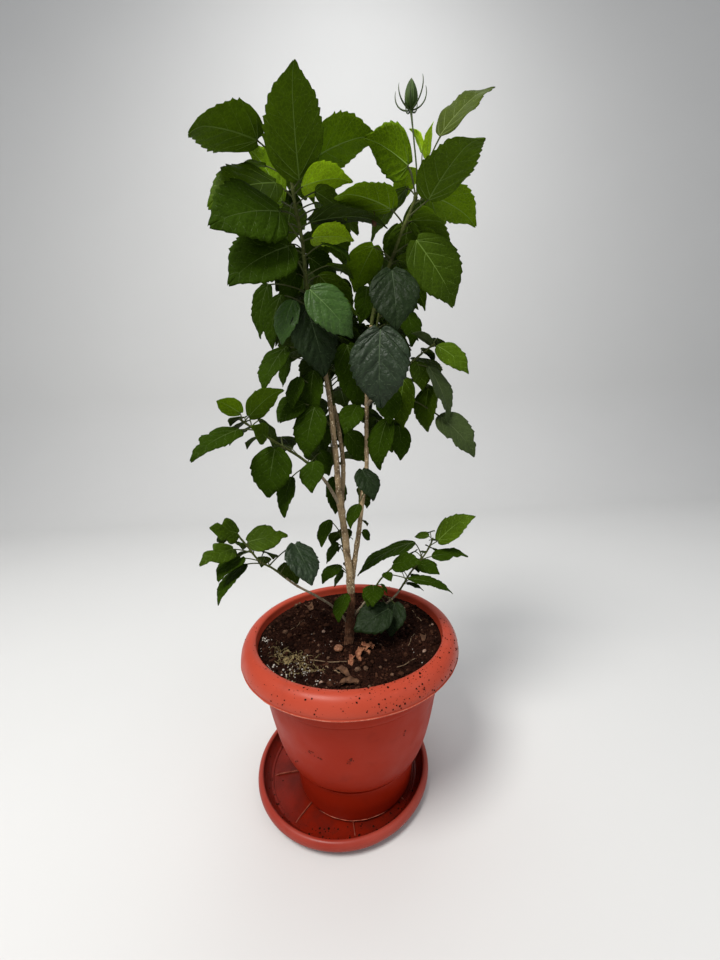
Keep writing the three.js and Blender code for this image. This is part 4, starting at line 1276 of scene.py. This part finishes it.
def add_side_veins(leaf, half, places, veins):
    """The side veins, and a fork from each toward the leaf's foot. Short leaves have fewer."""
    out = SIDE_VEIN_PARTS
    fork = FORK_PARTS
    for place, share in SIDE_VEINS:
        if leaf.length < SHORT_LEAF and share < WEAK_VEIN:
            continue
        spots = on_half(half, places, place + 0 * out, out)
        radii = np.maximum(SIDE_VEIN * vein_scale(leaf) * share * (1 - 0.72 * out), FINEST_VEIN)
        veins.add(*tube(leaf.spots(*spots), radii, 5))
        if place > FORKED_FROM and leaf.length > LONG_LEAF:
            spots = on_half(half, places, place - 0.075 * fork, 0.42 + 0.48 * fork)
            veins.add(*tube(leaf.spots(*spots), 0.28 - 0.03 * fork, 4))


def add_mid_vein(leaf, half, feet, veins):
    along = MID_VEIN_PARTS
    across, lift = (np.interp(along, feet, line) for line in half[1:, :, 0])
    radii = vein_scale(leaf) * (0.2 + 0.8 * (1 - along) ** 1.1)
    veins.add(*tube(leaf.spots(along * leaf.length, across, lift - 0.1), radii, 6))


def add_stalk(leaf, shoot, stalks):
    """A stalk that leaves the stem low, bows up and runs a little way under the blade."""
    foot = shoot.curve.at(shoot.stalk_foot(leaf))[0]
    reach = np.linalg.norm(leaf.root - foot)
    t = np.linspace(0, 1, 12)[:, None]
    back = leaf.root - leaf.mid * reach * STALK_BACK
    bow = back * STALK_BOWED + (foot + leaf.root) / 2 * (1 - STALK_BOWED) + UP * STALK_UP * reach
    end = leaf.root + leaf.mid * STALK_UNDER
    line = foot * (1 - t) ** 2 + 2 * bow * t * (1 - t) + end * t ** 2
    t = t[:, 0]
    thick = 0.5 + 0.4 * min(1.0, leaf.length / FULL_LENGTH)
    stalks.add(*tube(line, thick * (1 + 0.4 * np.exp(-t * 9) + 0.25 * np.exp(-(1 - t) * 9)), 8))


def make_leaves(shoots):
    """All blades and veins of a look go into pieces of that look, and the stalks into one piece."""
    random = draws("blades")
    stalks = Heap()
    made = dict.fromkeys(LOOKS, 0)
    heaps = {kind: (Heap(), Heap()) for kind in LOOKS}

    def empty(kind):
        blades, veins = heaps[kind]
        if not blades.count:
            return
        made[kind] += 1
        name = kind + "_" + str(made[kind])
        blades.make("leaves_" + name, ["leaf_upper_" + kind, "leaf_under_" + kind], "leaf")
        veins.make("veins_" + name, ["leaf_vein_" + kind], "leaf")
        heaps[kind] = (Heap(), Heap())

    for shoot in shoots:
        for leaf in shoot.leaves:
            blades, veins = heaps[leaf.kind]
            add_blade(leaf, blades, veins, random)
            add_stalk(leaf, shoot, stalks)
            for heap in (blades, veins, stalks):
                heap.nodes.add(shoot.mass)
            if blades.size() > PIECE_LIMIT:
                empty(leaf.kind)
    for kind in LOOKS:
        empty(kind)
    stalks.make("leaf_stalks", ["leaf_stalk"], "leaf")


# Flower bud, and a withered bit that hangs under the leaves beside it.

BUD_STALK = ((106, 0, 793), (106, 0, 820), (103, 0, 855), (100, 0, 887))
BUD_FOOT = np.array(BUD_STALK[-1], float)
BUD_LEAN = np.array([1.2, -0.8, 0.0])
BUD_LENGTH = 31.0
BUD_RADIUS = 8.0
BUD_PANELS = 5
BUD_TWIST = 1.4
BUD_OUTLINE = ((0.0, -0.03), (0.45, 0.02), (0.86, 0.15), (1.0, 0.36), (0.92, 0.54), (0.66, 0.74),
               (0.34, 0.9), (0.12, 0.98), (0.0, 1.03))
BRACTS = 7
BRACT_LENGTH = 35.0
BRACT_STEPS = 17
BUD_MASS = ["foliage_right_top"]
WITHERED_STALK = ((50, -4, 775), (52, -6, 769), (51, -7, 763))
WITHERED_PETALS = (-70, 40, 160, 250)


def make_bud():
    """A twisted bud of five panels with a raised ridge between each two, on its stalk, with bracts."""
    outline = rounded(BUD_OUTLINE)
    points, faces = turned(outline * [BUD_RADIUS, BUD_LENGTH], 50)
    share = points[:, 2] / BUD_LENGTH
    turns = np.arctan2(points[:, 1], points[:, 0])
    panels = np.abs(np.cos((turns * BUD_PANELS + share * BUD_TWIST) / 2))
    points[:, :2] *= (0.95 + 0.1 * panels ** 3)[:, None]
    bud = [(points + BUD_LEAN * share[:, None] ** 2 + BUD_FOOT, faces)]
    t = np.linspace(0.06, 0.97, 14)
    radius = np.interp(t, outline[:, 1], outline[:, 0]) * BUD_RADIUS * 1.03
    for number in range(BUD_PANELS):
        around = (2 * np.pi * number - t * BUD_TWIST) / BUD_PANELS
        line = np.column_stack([on_circle(around, radius), t * BUD_LENGTH])
        ridge = tube(line + BUD_LEAN * t[:, None] ** 2 + BUD_FOOT, np.linspace(0.42, 0.2, 14), 6)
        bud.append((*ridge, 1))
    make_piece("flower_bud", bud, ["bud_green", "bud_ridge"], "leaf", BUD_MASS)
    t = np.linspace(0, 50, 50)
    thick = 1.0 + 0.9 * np.exp((t - 50) / 4) + 0.3 * np.exp(-t / 3)
    stalk = [tube(Curve(BUD_STALK).at(t / 50), thick, 12)]
    stalk += [bract(360 * number / BRACTS, 1 - 0.12 * (number % 3)) for number in range(BRACTS)]
    make_piece("bud_stalk_and_bracts", stalk, ["bract_green"], "leaf", BUD_MASS)


def bract(bearing, size):
    """A narrow leaf that leaves the bud's foot sideways, bows up round the bud and turns in at its tip."""
    t = np.linspace(0, 1, BRACT_STEPS + 1)
    steps = on_circle(np.radians(12 + 98 * t), BRACT_LENGTH * size / BRACT_STEPS)
    track = np.cumsum(steps, 0) - steps
    line = BUD_FOOT + direction(bearing, 0) * (2 + track[:, :1]) + UP * (track[:, 1:] - 1.5)
    return tube(line, 0.95 * (1 - t) ** 0.6 * (0.8 + 0.5 * t) + 0.14, 8)


def make_withered_bit():
    random = draws("withered bit")
    line = Curve(WITHERED_STALK).at(np.linspace(0, 1, 12))
    shapes = [tube(line, np.full(12, 0.45), 6)]
    shapes += [petal(line[-1], bearing, -50, 9, 5, 60, random) for bearing in WITHERED_PETALS]
    make_piece("withered_bit", shapes, ["dead_leaf"], "leaf", BUD_MASS)


# Pot and saucer.

ROUND = 160
POT_BASE_RADIUS = 83.0
POT_FOOT_RADIUS = 90.0
POT_FOOT_TOP = 60.0
POT_NECK_RADIUS = 128.0
POT_NECK_HEIGHT = 205.0
POT_WALL = 4.0
POT_FLOOR = 6.0
POT_UNDERSIDE = 7.7

# The rim's paint starts above this height and outside this radius.
RIM_LOW = 207
RIM_MOUTH = 128

# The three grooves above the foot, and the rolled rim's section, from its lower outer edge over its
# crest to the mouth.
GROOVES = [(89.0, 53.2), (90.2, 54.2), (90.4, 56.2), (88.6, 57.0), (88.6, 58.2), (91.2, 59.2),
           (91.6, 60.8), (90.6, 61.6), (91.2, 62.4)]
RIM_SECTION = [(146.6, 207.3), (149.4, 208.0), (150.4, 209.4), (149.5, 210.8), (150.2, 213), (149.8, 217),
               (148.2, 222), (145.2, 227.5), (141, 231.2), (136.5, 232.8), (132.5, 232.4), (130, 231),
               (129.2, 228.5), (129, 223)]


def bell_radius(height):
    part = (height - POT_FOOT_TOP) / (POT_NECK_HEIGHT - POT_FOOT_TOP)
    return POT_FOOT_RADIUS + (POT_NECK_RADIUS - POT_FOOT_RADIUS) * part ** 0.5


def bell(heights, out=0.0):
    """Points of the pot's side at some heights, moved out by a thickness."""
    return [(bell_radius(height) + out, height) for height in heights]


def face_middles(points, faces):
    """The radius and the height of each face's middle."""
    middles = points[faces].mean(1)
    return np.hypot(middles[:, 0], middles[:, 1]), middles[:, 2]


def make_pot():
    foot = [(0, POT_UNDERSIDE), (60, POT_UNDERSIDE)] + twice([(POT_BASE_RADIUS - 1, POT_UNDERSIDE)])
    foot += [(POT_BASE_RADIUS + 0.4, POT_UNDERSIDE + 1.2), (84.5, 20), (87.2, 38)] + twice(GROOVES)
    side = bell([66, 70, 76, 85, 96, 112, 130, 150, 166, 173])
    step = twice(bell([176.5]) + [(bell_radius(177.2) - 0.7, 177.4), (bell_radius(178.5) + 1.6, 178.6)])
    band = bell([182], 1.9) + bell([190], 1.6) + twice(bell([198], 1.3))
    neck = [(bell_radius(200) + 0.2, 200.4), (129.0, 205)]
    inside = [(126, 212)] + bell([205, 168, 130, 96, 76, 66], -POT_WALL)
    floor = [(84, 60), (79, 16), (76, POT_UNDERSIDE + POT_FLOOR), (0, POT_UNDERSIDE + POT_FLOOR)]
    points, faces = turned(rounded(foot + side + step + band + neck + RIM_SECTION + inside + floor), ROUND)
    radius, height = face_middles(points, faces)
    on_rim = (height > RIM_LOW) & (radius > RIM_MOUTH)
    paints = ["pot_clay_red", "rim_clay_red"]
    make_piece("pot_dressed", [(points, faces, on_rim)], paints, "pot_plastic", ["pot"])
    # The mould's seam on the rim's lower lip, painted pale partly as a highlight, and a painted highlight
    # along the base edge at the front.
    edges = [pale_edge_line(150.3, 209.9, 0.5, 0, 360),
             pale_edge_line(POT_BASE_RADIUS + 0.2, POT_UNDERSIDE + 0.7, 0.4, -128, -62)]
    make_piece("pot_seam_and_highlights", edges, ["worn_edge"], "pot_plastic", ["pot"])
    make_piece("pot_smudges", smudges(), ["pot_smudge"], "pot_plastic", ["pot"])


def pale_edge_line(radius, height, thick, first, last):
    """A raised pale line along an edge, between two bearings, thicker and thinner by turns. On the rim's
    lower lip it is the mould's seam, and its pale paint there is also a painted highlight; on the base edge,
    where it runs at the front only, it is a painted highlight.
    """
    turns = np.radians(np.linspace(first, last, 1 + last - first))
    wander = 0.22 * np.sin(turns * 9 + 1) + 0.15 * np.sin(turns * 23)
    line = np.column_stack([on_circle(turns, radius), height + wander])
    patchy = 0.5 + 0.5 * np.sin(turns * 31) * np.sin(turns * 7 + 2)
    ends = np.clip(np.minimum(turns - turns[0], turns[-1] - turns) * 5 + 0.15, 0, 1)
    if last - first >= 360:
        ends = 1.0
    return tube(line, thick * (0.45 + 0.75 * patchy) * ends, 6)


# Smudges of dried soil on the pot's side: bearing, height, length, breadth and tilt.
SMUDGES = ((-117, 133, 9, 3.0, 20), (-112, 128, 6, 2.0, -20), (-94, 127, 5, 3.5, 60), (-92, 131, 3, 2.5, 0),
           (-60, 150, 6, 1.2, 80), (-132, 100, 5, 1.4, 40))
SMUDGE_CRUMBS = 14


def smudges():
    """Thin patches of dirt that follow the pot's side."""
    random = draws("smudges")
    for bearing, height, length, breadth, tilt in SMUDGES:
        level, upright = on_circle(math.radians(tilt), 1.0)
        for _ in range(SMUDGE_CRUMBS):
            lengthways = random.normal() * length / 2
            sideways = random.normal() * breadth / 2
            z = height + lengthways * upright + sideways * level
            radius = bell_radius(z)
            turn = math.radians(bearing) + (lengthways * level - sideways * upright) / radius
            yield lump(random, (*on_circle(turn, radius), z), 0.3 + 0.4 * random.random(), 1, 1.0)


SAUCER_PLACE = np.array([-17.5, 6.0, 0.0])
SAUCER_FLOOR = 4.0
SAUCER_OUTSIDE = [(0, 0), (100, 0), (111, 0.2), (113.5, 2), (118.5, 7.2), (122.5, 9.2), (125.2, 10.2),
                  (126.4, 12.5), (126.5, 15.5), (125.8, 18.4), (124, 20.9), (121.5, 22), (119.6, 21.3),
                  (118.6, 19.8), (117.4, 16)]
SAUCER_STEP = [(108.4, 6.0), (105.6, 5.8), (104.8, 4.2)]

# The saucer's inside has a wet paint within this radius and between these heights.
WET_RADIUS = 118.6
WET_HEIGHTS = (3.5, 19.5)

RIB_COUNT = 8
RIB_TURN = 7
RIB_START = 20.0
RIB_REACH = 104.0
RIB_FALLS = 8.0
RIB_TOP = 7.4
RIB_HALF = 0.62

# A rib's section: how far across in parts of its half breadth, and how far above or below its line.
# The outermost points stand on the saucer's floor.
RIB_SECTION = ((-1.25, None), (-1.0, -0.6), (-0.55, 0.1), (0.0, 0.35), (0.55, 0.1), (1.0, -0.6), (1.25, None))

# Crumbs in the saucer: how many, the bearing of the most and their spread, and the share of them that
# lies against the step. The radii are a least value and its spread.
SAUCER_CRUMBS = 260
WASHED_TO = (-105, 60)
WASHED_RADIUS = (92, 24)
STEP_RADIUS = (106, 5)
STEP_SHARE = 0.4


def make_saucer():
    inside = [(113.5, 10.5), (110.2, 7.4)] + twice(SAUCER_STEP)
    inside += [(103, SAUCER_FLOOR), (60, SAUCER_FLOOR), (0, SAUCER_FLOOR)]
    points, faces = turned(rounded(SAUCER_OUTSIDE + inside), ROUND)
    radius, height = face_middles(points, faces)
    wet = (radius < WET_RADIUS) & (height > WET_HEIGHTS[0]) & (height < WET_HEIGHTS[1])
    paints = ["saucer_red", "saucer_inside"]
    make_piece("saucer_dressed", [(points + SAUCER_PLACE, faces, wet)], paints, "saucer_plastic", ["saucer"])
    ribs = [rib(RIB_TURN + 360 * number / RIB_COUNT) for number in range(RIB_COUNT)]
    make_piece("saucer_ribs", ribs, ["saucer_rib"], "saucer_plastic", ["saucer"])
    make_piece("saucer_dirt", saucer_dirt(), ["crumb_dark"], "soil")


def rib(bearing):
    """A low rib with a rounded back that stands on the saucer's floor and falls off at its outer end."""
    t = np.linspace(RIB_START, RIB_REACH, 40)
    line = direction(bearing, 0) * t[:, None] + SAUCER_PLACE
    line[:, 2] = RIB_TOP - 1.2 - 2.0 * np.clip((t - RIB_REACH) / RIB_FALLS + 1, 0, 1)
    columns = []
    for across, lift in RIB_SECTION:
        column = line + direction(bearing + 90, 0) * across * RIB_HALF
        column[:, 2] = SAUCER_FLOOR - 0.5 if lift is None else line[:, 2] + lift
        columns.append(column)
    points = np.stack(columns, 1)
    rows, sides = points.shape[:2]
    last = (rows - 1) * sides
    faces = [grid_faces(rows, sides, wrap=True)]
    faces += [[[0, j + 1, j], [last, last + j, last + j + 1]] for j in range(1, sides - 1)]
    return points, np.concatenate(faces)[:, ::-1]


def saucer_dirt():
    """Crumbs that washed into the saucer, most of them at its near side and against its step."""
    random = draws("saucer dirt")
    for _ in range(SAUCER_CRUMBS):
        turn = math.radians(random.normal(*WASHED_TO))
        radius = drawn(random, WASHED_RADIUS)
        if random.random() < STEP_SHARE:
            radius = drawn(random, STEP_RADIUS)
        size = 0.3 + 1.1 * random.random() ** 3
        floor = SAUCER_FLOOR if radius < 105 else 5.9 + max(0.0, radius - 108.4) * 0.9
        yield lump(random, SAUCER_PLACE + [*on_circle(turn, radius), floor], size, 1, 0.7)


# Soil and what lies on it.

SOIL_PROFILE = ((0, 214.0), (25, 214.0), (50, 214.6), (80, 216.5), (112, 219.5), (124, 220.0), (128, 220.6))
SOIL_SIDE = ((123.6, 206), (118.5, 168), (110, 130), (98, 96), (84, 62), (78.6, 16))
SOIL_RADII = np.linspace(0.8, 127.6, 120)
SOIL_SEGMENTS = 260
SOIL_EDGE = 127.7

# The uneven top: fields of lumps with their heights, and a mound at the foot of the trunk.
SOIL_FIELDS = (
    (ripples(301, 24, 22.0, 55.0), 1.8),
    (ripples(302, 32, 7.0, 14.0), 1.7),
    (ripples(303, 40, 2.8, 5.0), 0.8),
)
MOUND_PLACE = (-2, -18)
MOUND_HEIGHT = 2.2
MOUND_SPREAD = 250


def soil_height(x, y):
    radius = np.hypot(x, y)
    points = np.stack([x, y, 0 * x], -1)
    lumps = sum(field(points) * height for field, height in SOIL_FIELDS)
    edge = np.clip((SOIL_EDGE - radius) / 5, 0.15, 1)
    mound = MOUND_HEIGHT * np.exp(-((x - MOUND_PLACE[0]) ** 2 + (y - MOUND_PLACE[1]) ** 2) / MOUND_SPREAD)
    return np.interp(radius, *zip(*SOIL_PROFILE)) + lumps * edge + mound


def on_soil(x, y, lift):
    return np.array([x, y, soil_height(x, y) + lift])


def make_soil():
    """The soil's body: a crumbly top on a plain filling that ends inside the pot's wall."""
    side_radii, side_heights = np.array(SOIL_SIDE).T
    radii = np.concatenate([SOIL_RADII, side_radii])
    places = on_circle(steps_around(SOIL_SEGMENTS), radii[:, None])
    heights = soil_height(places[..., 0], places[..., 1])
    heights[len(SOIL_RADII):] = side_heights[:, None]
    rings = np.concatenate([places, heights[..., None]], -1)
    points, faces = closed_rings(rings, (0, 0, soil_height(0, 0)), (0, 0, side_heights[-1]))
    make_piece("soil_dressed", [(points, faces[:, ::-1])], ["soil_dark"], "soil", ["soil"])


# Crumbs of soil: how many, the least size and its spread in millimetres, and the ball's fineness.
CRUMBS = ((3000, 0.6, 0.9, 0), (1100, 1.2, 1.5, 1), (140, 2.2, 2.4, 2))
CRUMBS_REACH = 125.0

# The share of crumbs that is dark, and the share that is dark or brown. The others are tan.
CRUMB_SHARES = (0.7, 0.955)


def crumbs():
    random = draws("crumbs")
    for count, least, spread, rounds in CRUMBS:
        turns = random.random(count) * 2 * np.pi
        places = on_circle(turns, CRUMBS_REACH * np.sqrt(random.random(count)))
        for (x, y), z in zip(places, soil_height(*places.T)):
            size = least + spread * random.random() ** 2
            number = np.searchsorted(CRUMB_SHARES, random.random())
            yield lump(random, (x, y, z + size * 0.2), size, rounds, 0.8, number)


# Groups of white grains: middle, spread, how many, and the least and greatest size.
GRAIN_GROUPS = (
    ((-84, -73), 12, 34, (0.5, 1.3)),
    ((-60, -84), 14, 44, (0.5, 1.5)),
    ((-68, -66), 10, 22, (0.5, 1.2)),
    ((-117, -8), 6, 26, (0.5, 1.4)),
    ((-106, -24), 9, 14, (0.5, 1.1)),
    ((-40, -98), 8, 12, (0.5, 1.1)),
    ((92, -52), 14, 5, (0.4, 0.9)),
    ((-30, 10), 20, 8, (0.4, 0.9)),
    ((-40, -10), 55, 36, (0.3, 0.7)),
)
GRAINS_REACH = 125
PALE_STONES = ((-39, 15, 2.4), (-51, -10, 1.8), (-27, -11, 1.6), (89, 61, 1.9), (121, 5, 1.7),
               (95, -57, 2.6), (-36, -101, 2.6), (70, 20, 1.4), (-70, 40, 1.6), (30, 70, 1.5))


def white_grains(random):
    for middle, spread, count, (least, most) in GRAIN_GROUPS:
        for _ in range(count):
            place = random.normal(middle, spread)
            reach = math.hypot(*place)
            if reach > GRAINS_REACH:
                place = place * (GRAINS_REACH - 1) / reach
            size = least + (most - least) * random.random() ** 1.6
            yield lump(random, on_soil(*place, size * 0.5), size, 1, 0.9)


def make_grains():
    random = draws("grains")
    make_piece("white_grains", white_grains(random), ["white_grain"], "soil")
    stones = [lump(random, on_soil(x, y, size * 0.35), size, 2, 0.8) for x, y, size in PALE_STONES]
    make_piece("pale_stones", stones, ["pale_stone"], "soil")


# Splashes of soil on the rim: how many, and the bearing and spread of each group.
SPLASHES = ((120, -72, 16), (70, -48, 14), (60, -24, 16), (45, -100, 14), (34, -135, 18), (22, 172, 22),
            (30, 60, 60))


def splashes():
    """Specks that dried on the rim, from its lower edge over the crest to the mouth."""
    random = draws("splashes")
    section = np.array(RIM_SECTION[4:12])
    for count, bearing, spread in SPLASHES:
        for _ in range(count):
            turn = math.radians(random.normal(bearing, spread))
            part = (1 - random.random() ** 0.9) * (len(section) - 1.001)
            low = int(part)
            radius, height = section[low] * (1 - part + low) + section[low + 1] * (part - low)
            size = 0.3 + 0.85 * random.random() ** 3
            yield lump(random, (*on_circle(turn, radius), height), size, 1, 0.8)


# Litter on the soil. Strips curl and have wavy edges; those of the flower and of the dead leaves are
# listed by place, bearing, length and width.

STRIP_ROWS = 16
STRIP_COLUMNS = 7
STRIP_THICK = 0.5
SHELL_PLACE = (-17, -34)
FLOWER_STRIPS = ((34, -31, 195, 16, 10), (28, -33, 215, 18, 11), (22, -37, 160, 14, 9), (18, -40, 230, 15, 9),
                 (12, -44, 250, 13, 8), (4, -52, 240, 12, 7), (0, -60, 262, 11, 7), (24, -30, 20, 12, 6),
                 (8, -56, 300, 10, 5), (20, -45, 320, 9, 5), (30, -38, 120, 10, 6))
DEAD_LEAVES = ((-17, -107, -2, 26, 10), (6, -110, 170, 20, 8), (-20, -72, -50, 26, 9), (60, 60, 30, 24, 12),
               (-60, 75, 120, 26, 13), (100, -30, 80, 18, 8))

# Tufts of moss: their middle, their spread and how many strands they have. A few strips lie among them.
MOSS_TUFTS = (((-82, -45), 16, 46), ((-60, -60), 12, 40), ((-96, -30), 10, 22), ((-48, -72), 9, 14),
              ((-70, -88), 10, 16))
MOSS_REACH = 120
STRANDS_REACH = 125
MOSS_STRIPS = 9
MOSS_MIDDLE = (-78, -50)

# Twigs by their two ends and half their thickness.
TWIGS = (((-53, -56), (-6, -62), 0.6), ((-36, -66), (-15, -85), 0.9), ((75, -41), (91, -10), 0.45),
         ((97, 65), (108, 22), 0.5), ((-20, 60), (25, 74), 0.5), ((-88, 20), (-70, 48), 0.45),
         ((20, 95), (52, 84), 0.6), ((55, -85), (80, -70), 0.5))


def petal(start, bearing, rise, length, width, curl, random):
    """A thin curled strip: closed, with a wavy edge."""
    t = np.linspace(0, 1, STRIP_ROWS)
    swing = np.radians(rise) - np.radians(curl) * t
    track = np.cumsum(on_circle(swing, length / (STRIP_ROWS - 1)), 0)
    line = start + direction(bearing, 0) * track[:, :1] + UP * track[:, 1:]
    across = np.linspace(-1, 1, STRIP_COLUMNS)
    half = width / 2 * np.sin(np.pi * (0.08 + 0.88 * t)) ** 0.6
    cup = 0.35 * width * across ** 2 * np.sin(np.pi * t)[:, None]
    ruffle = 0.09 * width * np.sin(t * 17 + random.random() * 6)[:, None] * across
    sideways = np.multiply.outer(half[:, None] * across, direction(bearing + 90, 0))
    top = line[:, None, :] + sideways + np.multiply.outer(cup + ruffle, UP)
    return [top, top - UP * STRIP_THICK], sheet_faces(STRIP_ROWS, STRIP_COLUMNS)[0]


def shell():
    """A small round brown shell: a tube that winds up and grows."""
    t = np.linspace(0, 1, 90)
    spiral = on_circle(t * 2 * np.pi * 2.4, 0.6 + 4.3 * t)
    line = np.column_stack([spiral, 3.0 * (1 - t) ** 1.3]) + on_soil(*SHELL_PLACE, 3.2)
    radii = (0.8 + 2.1 * t) * (1 + 0.05 * np.sin(t * 120))
    radii[-3:] *= [0.9, 0.7, 0.45]
    return tube(line, radii, 14)


def dry_flower(random):
    for x, y, bearing, length, width in FLOWER_STRIPS:
        start = on_soil(x, y, 1.5 + 2.0 * random.random())
        rise = 25 + 35 * random.random()
        yield petal(start, bearing, rise, length, width, 90 + 70 * random.random(), random)


def moss(random):
    """Yellowish dry strands in loose tufts."""
    for middle, spread, count in MOSS_TUFTS:
        for _ in range(count):
            place = random.normal(middle, spread * 0.6)
            if math.hypot(*place) <= MOSS_REACH:
                length = 5 + 11 * random.random()
                yield strand(place, random.random() * 360, length, 0.25 + 0.3 * random.random(), random)
    for _ in range(MOSS_STRIPS):
        start = on_soil(*random.normal(MOSS_MIDDLE, 12), 1.0)
        yield petal(start, random.random() * 360, 20, 9 + 5 * random.random(), 5, 80, random)


def strand(place, bearing, length, thick, random):
    t = np.linspace(0, 1, 9)
    bend = math.radians(bearing) + 1.6 * (random.random() - 0.5) * t
    track = np.cumsum(on_circle(bend, length / 8), 0) + place
    reach = np.hypot(*track.T)
    track = track * np.minimum(1, STRANDS_REACH / np.maximum(reach, 1))[:, None]
    height = soil_height(*track.T) + thick + 0.8 * np.sin(np.pi * t)
    return tube(np.column_stack([track, height]), thick * (1 - 0.5 * t), 5)


def twigs():
    t = np.linspace(0, 1, 24)
    for start, end, thick in TWIGS:
        wander = 1.2 * np.stack([np.sin(t * 7), np.cos(t * 6)])
        x, y = np.linspace(start, end, 24).T + wander
        z = soil_height(x, y)
        z = np.maximum(z, np.linspace(z[0], z[-1], 24)) + thick * 0.8
        yield tube(np.column_stack([x, y, z]), thick * (1 + 0.12 * np.sin(t * 40)), 7)


def make_litter():
    """Dry things on the soil: a shell, a fallen flower, moss, thin twigs and dead leaves."""
    random = draws("litter")
    make_piece("brown_shell", [shell()], ["brown_shell"], "soil")
    make_piece("dry_flower", dry_flower(random), ["dry_flower"], "soil")
    make_piece("dry_moss", moss(random), ["dry_moss"], "soil")
    make_piece("dry_twigs", twigs(), ["dry_twig"], "soil")
    leaves = [petal(on_soil(x, y, 1.2), bearing, 18, length, width, 38, random)
              for x, y, bearing, length, width in DEAD_LEAVES]
    make_piece("dead_leaves", leaves, ["dead_leaf"], "soil")


# Stage, in metres, and light.

STAGE_COLOUR = (0.66, 0.66, 0.65)
STAGE_HALF = 5.0
STAGE_FRONT = -3.0
STAGE_BEND = 1.6
STAGE_CURVE = 0.8
STAGE_TOP = 5.0
SKY_COLOUR = (0.94, 0.96, 1.0, 1.0)
SKY_STRENGTH = 0.45

# Area lights: name, place, aim, size, power and colour.
LIGHTS = (
    ("key", (-0.9, -1.0, 2.4), (0, 0, 0.4), 1.0, 66.0, (1.0, 0.98, 0.95)),
    ("fill", (1.6, -1.2, 1.3), (0, 0, 0.4), 1.6, 6.0, (0.95, 0.97, 1.0)),
    ("wall", (0.2, 0.9, 3.2), (0, 2.4, 1.0), 2.0, 22.0, (1.0, 1.0, 1.0)),
)


def make_stage():
    """A pale floor that curves up into a pale wall, well clear of the plant."""
    paint = Paint("stage_pale")
    paint.skin(paint.blend(paint.noise(3.0, 3.0), STAGE_COLOUR, shade(STAGE_COLOUR, 0.97)), 0.9)
    curve = on_circle(np.linspace(-np.pi / 2, 0, 25), STAGE_CURVE) + [STAGE_BEND, STAGE_CURVE]
    profile = [(STAGE_FRONT, 0.0), (STAGE_BEND, 0.0), *curve, (STAGE_BEND + STAGE_CURVE, STAGE_TOP)]
    points = [(x, y, z) for y, z in profile for x in (-STAGE_HALF, STAGE_HALF)]
    faces = [(2 * i, 2 * i + 1, 2 * i + 3, 2 * i + 2) for i in range(len(profile) - 1)]
    mesh = bpy.data.meshes.new("stage_floor")
    mesh.from_pydata(points, [], faces)
    mesh.materials.append(PAINTS["stage_pale"])
    for face in mesh.polygons:
        face.use_smooth = True
    floor = place_in_scene("stage_floor", mesh)


def make_light():
    world = bpy.data.worlds.new("pale_studio")
    world.use_nodes = True
    world.node_tree.nodes["Background"].inputs["Color"].default_value = SKY_COLOUR
    world.node_tree.nodes["Background"].inputs["Strength"].default_value = SKY_STRENGTH
    bpy.context.scene.world = world
    for name, place, aim, size, power, colour in LIGHTS:
        data = bpy.data.lights.new(name, "AREA")
        data.shape = "DISK"
        data.size = size
        data.energy = power
        data.color = colour
        light = place_in_scene(name, data)
        light.location = place
        light.rotation_mode = "QUATERNION"
        light.rotation_quaternion = (Vector(aim) - Vector(place)).to_track_quat("-Z", "Y")
        light.visible_camera = False
    bpy.context.scene.view_settings.view_transform = "Standard"


make_camera()
make_paints()
grow(SHOOTS)
make_stems(SHOOTS)
make_leaves(SHOOTS)
make_bud()
make_withered_bit()
make_pot()
make_saucer()
make_soil()
make_piece("soil_crumbs", crumbs(), ["crumb_dark", "crumb_brown", "crumb_tan"], "soil")
make_grains()
make_piece("rim_splashes", splashes(), ["crumb_dark"], "soil")
make_litter()
make_stage()
make_light()
